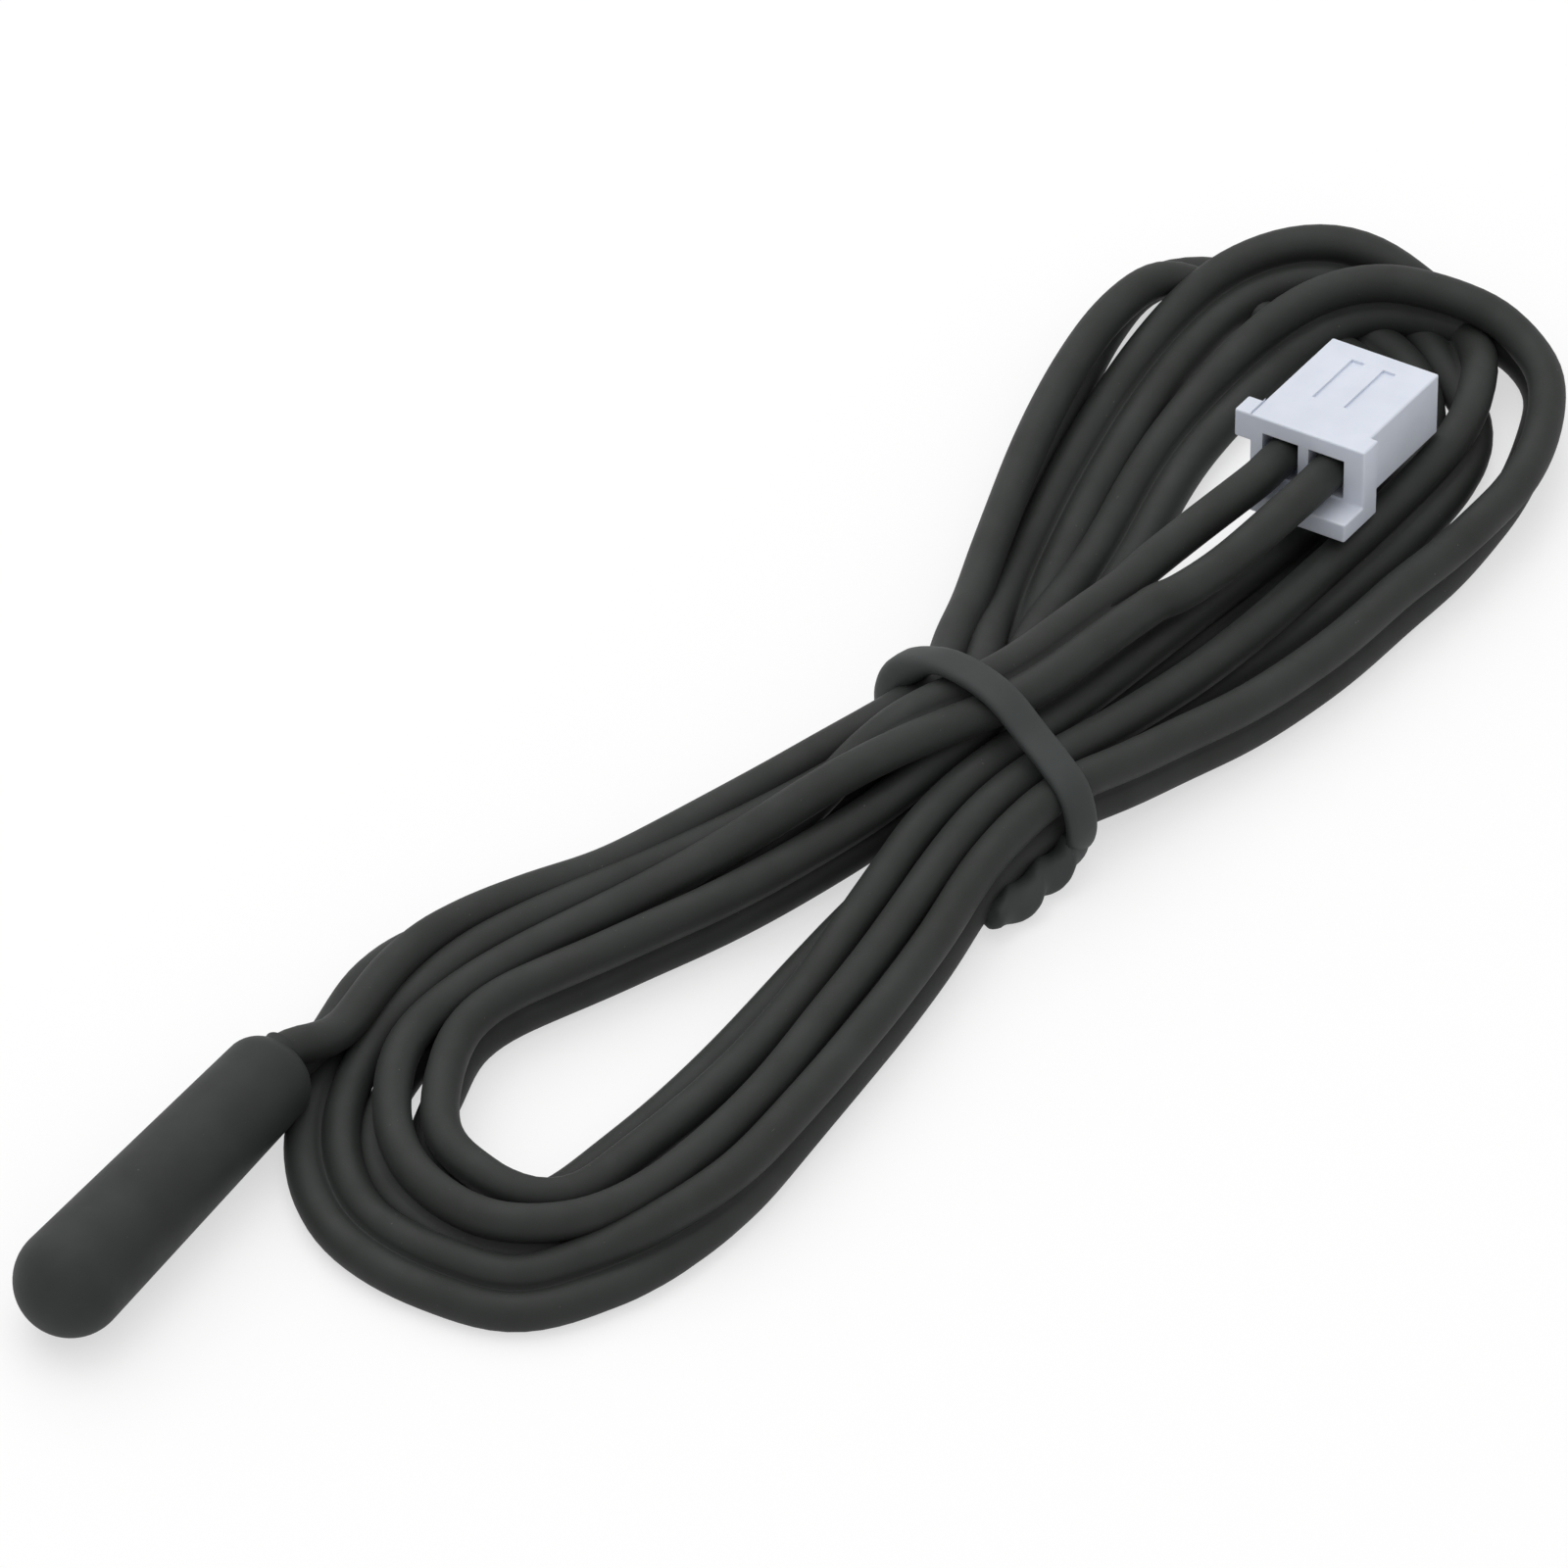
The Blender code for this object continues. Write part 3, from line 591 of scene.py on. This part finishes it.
jacket_look = black_vinyl(
    "jacket_vinyl",
    dark=(0.018, 0.020, 0.018),
    light=(0.023, 0.026, 0.024),
    rough_low=0.58,
    rough_high=0.70,
    grain_scale=2600.0,
    grain_depth=0.00002,
)
mould_look = black_vinyl(
    "head_moulding",
    dark=(0.020, 0.022, 0.021),
    light=(0.026, 0.029, 0.028),
    rough_low=0.60,
    rough_high=0.70,
    grain_scale=3200.0,
    grain_depth=0.00002,
)
tie_look = black_vinyl(
    "tie_plastic",
    dark=(0.030, 0.033, 0.033),
    light=(0.039, 0.043, 0.043),
    rough_low=0.55,
    rough_high=0.66,
    grain_scale=1800.0,
    grain_depth=0.00003,
)
lead.data.materials.append(jacket_look)
print("black finishes:", jacket_look.name, mould_look.name, tie_look.name)

# %% White nylon for the plug


def white_nylon(name, dark, light):
    """Bluish white nylon: nearly even colour, soft gloss, a faint moulded ripple."""
    made, tree, shader = new_look(name)
    tone = ramp(tree, noise(tree, scale=320.0, detail=3.0), [(0.35, dark), (0.65, light)])
    tree.links.new(tone, shader.inputs["Base Color"])
    uneven = noise(tree, scale=600.0, detail=3.0)
    gloss = spread(tree, uneven, low=0.3, high=0.7, to_low=0.36, to_high=0.46)
    tree.links.new(gloss, shader.inputs["Roughness"])
    shader.inputs["Subsurface Weight"].default_value = 0.15
    shader.inputs["Subsurface Radius"].default_value = (0.6, 0.7, 0.9)
    shader.inputs["Subsurface Scale"].default_value = 0.0006
    bumped(tree, shader, noise(tree, scale=900.0), strength=0.2, distance=0.00002)
    return made


housing_look = white_nylon("plug_nylon", dark=(0.68, 0.72, 0.81), light=(0.73, 0.77, 0.86))
print("plug finish:", housing_look.name)

# %% Metal and resin for the inner parts


def plain_metal(name, dark, light, rough_low, rough_high):
    """Metal with slow tone changes and fine rolling marks."""
    made, tree, shader = new_look(name)
    tone = ramp(tree, noise(tree, scale=900.0), [(0.3, dark), (0.7, light)])
    tree.links.new(tone, shader.inputs["Base Color"])
    uneven = noise(tree, scale=1500.0)
    gloss = spread(tree, uneven, low=0.3, high=0.7, to_low=rough_low, to_high=rough_high)
    tree.links.new(gloss, shader.inputs["Roughness"])
    shader.inputs["Metallic"].default_value = 1.0
    bumped(tree, shader, noise(tree, scale=4000.0), strength=0.25, distance=0.00001)
    return made


def cast_resin(name, dark, light, roughness):
    """Resin or sleeving: two tones and a slightly uneven skin."""
    made, tree, shader = new_look(name)
    tone = ramp(tree, noise(tree, scale=700.0), [(0.3, dark), (0.7, light)])
    tree.links.new(tone, shader.inputs["Base Color"])
    smoothest = roughness - 0.05
    roughest = roughness + 0.07
    uneven = noise(tree, scale=1200.0, detail=3.0)
    gloss = spread(tree, uneven, low=0.3, high=0.7, to_low=smoothest, to_high=roughest)
    tree.links.new(gloss, shader.inputs["Roughness"])
    bumped(tree, shader, noise(tree, scale=1600.0), strength=0.25, distance=0.00002)
    return made


tinned_look = plain_metal(
    "tinned_brass",
    dark=(0.55, 0.53, 0.48),
    light=(0.72, 0.71, 0.67),
    rough_low=0.25,
    rough_high=0.38,
)
copper_look = plain_metal(
    "copper_strands",
    dark=(0.62, 0.30, 0.16),
    light=(0.80, 0.44, 0.26),
    rough_low=0.30,
    rough_high=0.45,
)
resin_look = cast_resin(
    "inner_resin", dark=(0.050, 0.036, 0.024), light=(0.075, 0.055, 0.036), roughness=0.40
)
bead_look = cast_resin(
    "bead_resin", dark=(0.015, 0.016, 0.018), light=(0.030, 0.030, 0.030), roughness=0.25
)
sleeve_look = cast_resin(
    "sleeve_amber", dark=(0.28, 0.12, 0.02), light=(0.42, 0.20, 0.04), roughness=0.35
)
print("metal finishes:", tinned_look.name, copper_look.name)
print("resin finishes:", resin_look.name, bead_look.name, sleeve_look.name)

# %% [markdown]
# ## The pieces that keep their CAD shape
# The plug, its contacts and what is inside the head keep the shape they have in the frame. Only their
# finish changes.

# %% Give the kept nodes their finish
KEPT_LOOKS = {
    "inner_mould": resin_look,
    "thermistor_bead": bead_look,
    "bead_wire_left": tinned_look,
    "bead_wire_right": tinned_look,
    "joint_ferrule_left": tinned_look,
    "joint_ferrule_right": tinned_look,
    "joint_sleeve_left": sleeve_look,
    "joint_sleeve_right": sleeve_look,
    "conductor_left": copper_look,
    "conductor_right": copper_look,
    "plug_housing": housing_look,
    "plug_contact_left": tinned_look,
    "plug_contact_right": tinned_look,
    "crimped_end_left": copper_look,
    "crimped_end_right": copper_look,
}
for node, look in KEPT_LOOKS.items():
    slots = bpy.data.objects[node].data.materials
    slots.clear()
    slots.append(look)
print("nodes with a finish:", len(KEPT_LOOKS))

# %% [markdown]
# ## The moulded head
# The head is a bullet turned about its own axis. A Screw modifier could turn its profile, but the slot for
# the lead isn't round, so the surface is one grid of rings: round the tip, along the slight draft, over the
# rear shoulder, in through the slot and back along the hollow for the inner mould.

# %% Head sizes and profiles
HEAD_AXIS_Z = 2.6
TIP_X = -9.0
REAR_X = 10.0
FRONT_R = 2.6
REAR_R = 2.22
SHOULDER_R = 1.5
ROOM_R = 1.95
ROOM_TIP_X = -7.3
ROOM_REAR_X = 4.0
SLOT_GAP = 0.05
POLE_R = 0.02
LIP_FLARE = 1.02
LIP_INSET = 0.12
SLOT_INSET = 0.3


def arc_profile(middle_x, middle_r, radius, start, end, steps):
    """Points on a quarter circle: middle plus radius times cosine and sine."""
    turn = np.radians(np.linspace(start, end, steps))
    return np.column_stack([middle_x + radius * np.cos(turn), middle_r + radius * np.sin(turn)])


def stadium_ray(turn, half_width, half_height):
    """Distance from the middle to a slot with round ends, along each direction: the slot stands on edge."""
    side = np.abs(np.cos(turn))
    rise = np.abs(np.sin(turn))
    flat = half_width / np.maximum(side, 1e-9)
    reach = half_height - half_width
    inside = reach * rise + np.sqrt(np.maximum(half_width**2 - (reach * side) ** 2, 0.0))
    return np.where(flat * rise <= reach, flat, inside)


print("head:", REAR_X - TIP_X, "mm long,", 2 * FRONT_R, "mm across at the front")

# %% Head as one run of rings
TIP_STEPS = 22
SIDE_STEPS = 26
SHOULDER_STEPS = 14
ROOM_STEPS = 10
HEAD_COLUMNS = 72


def head_rings(columns):
    """Outer skin, slot and hollow about the axis; the slot's lip stands for the last two shoulder rings."""
    turn = np.linspace(0, 2 * math.pi, columns, endpoint=False)
    tip = arc_profile(TIP_X + FRONT_R, 0.0, FRONT_R, 180, 90, TIP_STEPS)
    tip[0, 1] = POLE_R
    side_x = np.linspace(TIP_X + FRONT_R, REAR_X - SHOULDER_R, SIDE_STEPS)[1:-1]
    slope = (REAR_R - FRONT_R) / (REAR_X - SHOULDER_R - TIP_X - FRONT_R)
    side = np.column_stack([side_x, FRONT_R + slope * (side_x - TIP_X - FRONT_R)])
    shoulder = arc_profile(REAR_X - SHOULDER_R, REAR_R - SHOULDER_R, SHOULDER_R, 90, 0, SHOULDER_STEPS)
    outer = np.vstack([tip, side, shoulder[:-2]])
    radius = np.repeat(outer[:, 1, None], columns, axis=1)
    place = outer[:, 0]
    slot = stadium_ray(turn, CORE_R + SLOT_GAP, 2 * CORE_R + SLOT_GAP)
    room = arc_profile(ROOM_TIP_X + ROOM_R, 0.0, ROOM_R, 90, 180, ROOM_STEPS)
    room[-1, 1] = POLE_R
    room = np.vstack([[ROOM_REAR_X, ROOM_R], room])
    lip = np.vstack([slot * LIP_FLARE, slot, slot])
    radius = np.vstack([radius, lip, np.repeat(room[:, 1, None], columns, axis=1)])
    place = np.concatenate([place, [REAR_X - LIP_INSET, REAR_X - SLOT_INSET, ROOM_REAR_X], room[:, 0]])
    y = radius * np.cos(turn)
    z = HEAD_AXIS_Z + radius * np.sin(turn)
    return np.stack([np.repeat(place[:, None], columns, axis=1), y, z], axis=-1)


head = mesh_piece("head_bullet", head_rings(HEAD_COLUMNS), smooth_angle=40.0)
head.data.materials.append(mould_look)
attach(head, "root")
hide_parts("head_mould")
print("head faces:", len(head.data.polygons))

# %% [markdown]
# ## The two single cores
# Where the jacket's web is torn, the lead's two cores go on by themselves into the plug. Each starts inside
# the lead's end, so that no step shows, bends freely and straightens before its contact. A round tube
# carried along a line is enough here, and from the contact's grip on it is drawn thinner, as the crimp
# squeezes it.

# %% Cores from the lead's end to the contacts
PLUG_PLACE = (23.1, 3.9, 7.6)
PLUG_TURN = math.radians(16.8 - 90.0)
PLUG_DIP = math.radians(-8.0)
PLUG_ROLL = math.radians(-5.0)
PLUG_HALF_PITCH = 1.25
CONTACT_Z = -1.9

# Places along the plug's depth through which the core's line runs straight
CONTACT_STOPS = (-2.2, -1.0, 0.5, 0.9, 1.85)
GRIP_STOP = 2
CRIMP_SQUEEZE = 0.82

# Points of the lead's end that the core's line starts from
JOIN_POINTS = [-6, -3, -1]
CORE_STEPS = 12
CORE_SPACING = 0.25
CORE_PASSES = 4
CORE_COLUMNS = 28
START_RINGS = 6
START_SIZE = 0.97

# The free bend of each core, in the hank's frame
CORE_ROUTES = {
    "left": ((13.4, 3.98, 4.98), (16.8, 4.46, 4.95)),
    "right": ((13.3, 1.62, 4.98), (16.6, 1.78, 4.95)),
}


def plug_to_part(points):
    """Turns points of the plug's frame by its roll, dip and turn and moves them to its place."""
    turn = Matrix.Rotation(HANK_TURN + PLUG_TURN, 3, "Z")
    dip = Matrix.Rotation(PLUG_DIP, 3, "X")
    roll = Matrix.Rotation(PLUG_ROLL, 3, "Y")
    matrix = np.array(turn @ dip @ roll)
    return np.asarray(points, float) @ matrix.T + hank_to_part([PLUG_PLACE])[0]


def round_rings(line, radii, columns):
    """Circles across the line; the frame's side axis is the direction crossed with up."""
    way = directions(line)
    side = np.cross(way, [0.0, 0.0, 1.0])
    side /= np.linalg.norm(side, axis=1)[:, None]
    rise = np.cross(side, way)
    turn = np.linspace(0, 2 * math.pi, columns, endpoint=False)
    ring = np.cos(turn)[None, :, None] * side[:, None] + np.sin(turn)[None, :, None] * rise[:, None]
    return line[:, None] + ring * np.asarray(radii)[:, None, None]


def core_piece(side, sign):
    """The core's line joins the lead's own core, the listed bend and the straight part in the contact."""
    centre = twin_sweep(route[:, :3], route[:, 3], np.array([[sign * CORE_R, 0.0]]))[:, 0]
    x = sign * PLUG_HALF_PITCH
    entry = plug_to_part([(x, y, CONTACT_Z) for y in CONTACT_STOPS])
    free = np.vstack([centre[JOIN_POINTS], hank_to_part(CORE_ROUTES[side]), entry])
    line = softened(even_spacing(smooth_through(free, CORE_STEPS), CORE_SPACING), CORE_PASSES)
    to_contact = np.linalg.norm(line - entry[GRIP_STOP], axis=1)
    nearest = int(np.argmin(to_contact))
    radii = np.full(len(line), CORE_R)
    radii[:START_RINGS] = np.linspace(START_SIZE, 1.0, START_RINGS) * CORE_R
    radii[nearest:] = CORE_R * CRIMP_SQUEEZE
    return mesh_piece(f"single_core_{side}", round_rings(line, radii, CORE_COLUMNS))


cores = [core_piece("left", -1), core_piece("right", 1)]
for core, side in zip(cores, ("left", "right")):
    core.data.materials.append(jacket_look)
    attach(core, "root")
    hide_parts(f"core_{side}")
print("single cores:", len(cores))

# %% [markdown]
# ## The tie
# The tie is a flat plastic-covered strip, bent once round the waist of the hank and twisted shut beside it.
# A curve with a bevel shape would swell in width as well where the strip is thicker, at the far edge of the
# bundle, so its section is worked out by itself and swept as a closed band round the bundle's outline.

# %% Tie band

# Outline of the bundle at the waist, as v and z
BUNDLE = (
    (-4.9, 2.6),
    (-4.5, 1.3),
    (-3.4, 0.96),
    (0.3, 0.94),
    (4.2, 0.96),
    (5.8, 1.3),
    (6.35, 2.8),
    (6.05, 4.3),
    (5.0, 5.5),
    (3.7, 6.4),
    (1.9, 6.6),
    (0.3, 6.35),
    (-1.4, 5.5),
    (-3.0, 4.9),
    (-4.4, 4.2),
)
TIE_MIDDLE_U = 1.4
TIE_BOW = 0.018
TIE_BOW_V = -1.8
TIE_WIDTH = 1.7
TIE_THICK = 0.8
TIE_THINNING = 0.12
TIE_CLEARANCE = 0.03
EDGE_POWER = 0.55
CROWN_POWER = 0.8
TIE_STEPS = 8
TIE_COLUMNS = 24
FOLD_V = 5.6
FOLD_SPREAD = 1.3
FOLD_ABOVE_Z = 1.0
FOLD_THICK = 0.9
FLOOR_CLEARANCE = 0.02


def outward_normals(outline):
    """Normals of a closed outline: its direction turned by a quarter, pointing away from its middle."""
    way = np.roll(outline, -1, axis=0) - np.roll(outline, 1, axis=0)
    way /= np.linalg.norm(way, axis=1)[:, None]
    normal = np.column_stack([way[:, 1], -way[:, 0]])
    away = np.sum(normal * (outline - outline.mean(axis=0)))
    return normal if away > 0 else -normal


def tie_rings(outline, steps):
    """At each point of the outline, an oval squared off by powers below one of its cosine and sine."""
    path = smooth_through(outline, steps, closed=True)
    normal = outward_normals(path)
    turn = np.linspace(0.0, 2 * math.pi, TIE_COLUMNS, endpoint=False)
    across = np.sign(np.cos(turn)) * np.abs(np.cos(turn)) ** EDGE_POWER * TIE_WIDTH / 2
    flat = np.sign(np.sin(turn)) * np.abs(np.sin(turn)) ** CROWN_POWER
    fold = FOLD_THICK * np.exp(-((path[:, 0] - FOLD_V) / FOLD_SPREAD) ** 2) * (path[:, 1] > FOLD_ABOVE_Z)
    half = (TIE_THICK - TIE_THINNING + fold) / 2
    out = flat[None, :] * half[:, None] + TIE_THICK / 2 + TIE_CLEARANCE
    v = path[:, None, 0] + normal[:, None, 0] * out
    z = path[:, None, 1] + normal[:, None, 1] * out
    middle = TIE_MIDDLE_U - TIE_BOW * (path[:, 0] - TIE_BOW_V) ** 2
    u = middle[:, None] + across[None, :]
    band = np.stack([u, v, np.maximum(z, FLOOR_CLEARANCE)], axis=-1)
    return hank_to_part(band.reshape(-1, 3)).reshape(*v.shape, 3)


tie = mesh_piece("tie_strip", tie_rings(BUNDLE, TIE_STEPS), closed_rows=True)
tie.data.materials.append(tie_look)
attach(tie, "root")
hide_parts("tie_band")
print("tie faces:", len(tie.data.polygons))

# %% [markdown]
# ## The tie's twisted end
# The tie's two ends are twisted together into a short rope that lies beside the hank. Two strips wound
# round each other would be closer to the real thing, but at this size only the bumps show, so one oval
# section turns about its line.

# %% Twisted end of the tie
TWIST_ROUTE = (
    (1.5, -4.3, 1.6),
    (0.9, -4.9, 1.3),
    (-0.3, -5.25, 1.1),
    (-1.6, -5.35, 1.05),
    (-2.8, -5.65, 1.0),
    (-3.8, -5.65, 0.95),
    (-4.9, -5.4, 0.9),
)
TWIST_PITCH = 4.4
TWIST_WIDTH = 1.9
TWIST_THICK = 1.35
TWIST_STEPS = 10
TWIST_SPACING = 0.12
TWIST_COLUMNS = 20
TWIST_END_SIZE = 0.35
TWIST_END_LENGTH = 0.6


def twist_rings(line, width, thick):
    """An oval section that turns about its line once in each pitch, and narrows at both ends."""
    way = directions(line)
    side = np.cross(way, [0.0, 0.0, 1.0])
    side /= np.linalg.norm(side, axis=1)[:, None]
    rise = np.cross(side, way)
    walked = np.concatenate([[0.0], np.cumsum(np.linalg.norm(np.diff(line, axis=0), axis=1))])
    spin = 2 * math.pi * walked / TWIST_PITCH
    ends = np.minimum(walked, walked[-1] - walked)
    rounding = np.sqrt(np.clip(ends / TWIST_END_LENGTH, 0.0, 1.0))
    size = TWIST_END_SIZE + (1.0 - TWIST_END_SIZE) * rounding
    turn = np.linspace(0, 2 * math.pi, TWIST_COLUMNS, endpoint=False)
    across = np.cos(turn) * width / 2
    out = np.sin(turn) * thick / 2
    flat = np.cos(spin)[:, None] * across - np.sin(spin)[:, None] * out
    tall = np.sin(spin)[:, None] * across + np.cos(spin)[:, None] * out
    offset = flat[..., None] * side[:, None] + tall[..., None] * rise[:, None]
    return line[:, None] + size[:, None, None] * offset


twist_line = even_spacing(smooth_through(hank_to_part(TWIST_ROUTE), TWIST_STEPS), TWIST_SPACING)
twisted = twist_rings(twist_line, TWIST_WIDTH, TWIST_THICK)
twisted[..., 2] = np.maximum(twisted[..., 2], FLOOR_CLEARANCE)
twist = mesh_piece("tie_twist", twisted)
twist.data.materials.append(tie_look)
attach(twist, "root")
print("twist faces:", len(twist.data.polygons))

# %% Cord facts
print("lead declared at", round(LEAD_LENGTH * MM, 3), "m")

# %% [markdown]
# ## Floor and light
# The photograph was taken on white, with a broad soft light from behind and above. A Light Path node makes
# the floor and the world near white where the camera or a reflection sees them, and the floor keeps the
# object's shadow.

# %% Floor
FLOOR_SIZE = 3.0
FLOOR_SEEN_WHITE = 0.55
FLOOR_GLOW = 1.1


def seen_rays(tree):
    """1 for rays from the camera and for glossy and transmitted ones, 0 for the rest."""
    kind = tree.nodes.new("ShaderNodeLightPath")
    either = kind.outputs["Is Camera Ray"]
    for other in ("Is Glossy Ray", "Is Transmission Ray"):
        highest = tree.nodes.new("ShaderNodeMath")
        highest.operation = "MAXIMUM"
        tree.links.new(either, highest.inputs[0])
        tree.links.new(kind.outputs[other], highest.inputs[1])
        either = highest.outputs[0]
    return either


floor_mesh = bpy.data.meshes.new("floor")
half = FLOOR_SIZE / 2
floor_corners = [(-half, -half, 0), (half, -half, 0), (half, half, 0), (-half, half, 0)]
floor_mesh.from_pydata(floor_corners, [], [(0, 1, 2, 3)])
floor = bpy.data.objects.new("floor", floor_mesh)
bpy.context.collection.objects.link(floor)
floor_look, floor_tree, floor_shader = new_look("floor_white")
floor_shader.inputs["Base Color"].default_value = (0.90, 0.90, 0.90, 1.0)
floor_shader.inputs["Roughness"].default_value = 0.6
floor_white = floor_tree.nodes.new("ShaderNodeEmission")
floor_mix = floor_tree.nodes.new("ShaderNodeMixShader")
half_seen = floor_tree.nodes.new("ShaderNodeMath")
half_seen.operation = "MULTIPLY"
half_seen.inputs[1].default_value = FLOOR_SEEN_WHITE
floor_tree.links.new(seen_rays(floor_tree), half_seen.inputs[0])
floor_tree.links.new(half_seen.outputs[0], floor_mix.inputs["Fac"])
floor_tree.links.new(floor_shader.outputs["BSDF"], floor_mix.inputs[1])
floor_tree.links.new(floor_white.outputs["Emission"], floor_mix.inputs[2])
floor_tree.links.new(floor_mix.outputs["Shader"], floor_tree.nodes["Material Output"].inputs["Surface"])
floor_white.inputs["Strength"].default_value = FLOOR_GLOW
floor.data.materials.append(floor_look)
print("floor:", FLOOR_SIZE, "m wide")

# %% World
WORLD_LIGHT = 0.55
WORLD_SEEN = 1.0
world = bpy.data.worlds.new("world")
bpy.context.scene.world = world
world.use_nodes = True
world_tree = world.node_tree
background = world_tree.nodes["Background"]
background.inputs["Color"].default_value = (1.0, 1.0, 1.0, 1.0)
level = world_tree.nodes.new("ShaderNodeMapRange")
level.inputs["To Min"].default_value = WORLD_LIGHT
level.inputs["To Max"].default_value = WORLD_SEEN
world_tree.links.new(seen_rays(world_tree), level.inputs["Value"])
world_tree.links.new(level.outputs["Result"], background.inputs["Strength"])
print("world strength:", WORLD_LIGHT, "as light,", WORLD_SEEN, "where it is seen")

# %% Lamps


def area_lamp(name, place, target, size, power):
    """A square soft lamp that looks at the target."""
    data = bpy.data.lights.new(name, "AREA")
    data.shape = "SQUARE"
    data.size = size
    data.energy = power
    lamp = bpy.data.objects.new(name, data)
    lamp.location = place
    lamp.rotation_euler = (Vector(target) - Vector(place)).to_track_quat("-Z", "Y").to_euler()
    bpy.context.collection.objects.link(lamp)


# Name, place, side and power of each lamp
LAMPS = (
    ("back_soft", (0.20, 0.30, 0.60), 0.7, 1.9),
    ("top_soft", (0.0, 0.0, 0.75), 0.8, 1.1),
)
MIDDLE = (0.04, -0.01, 0.0)
for lamp_name, lamp_place, lamp_size, lamp_power in LAMPS:
    area_lamp(lamp_name, lamp_place, MIDDLE, lamp_size, lamp_power)
print("lamps:", len(bpy.data.lights))

# %% End of the scene
print("scene built")
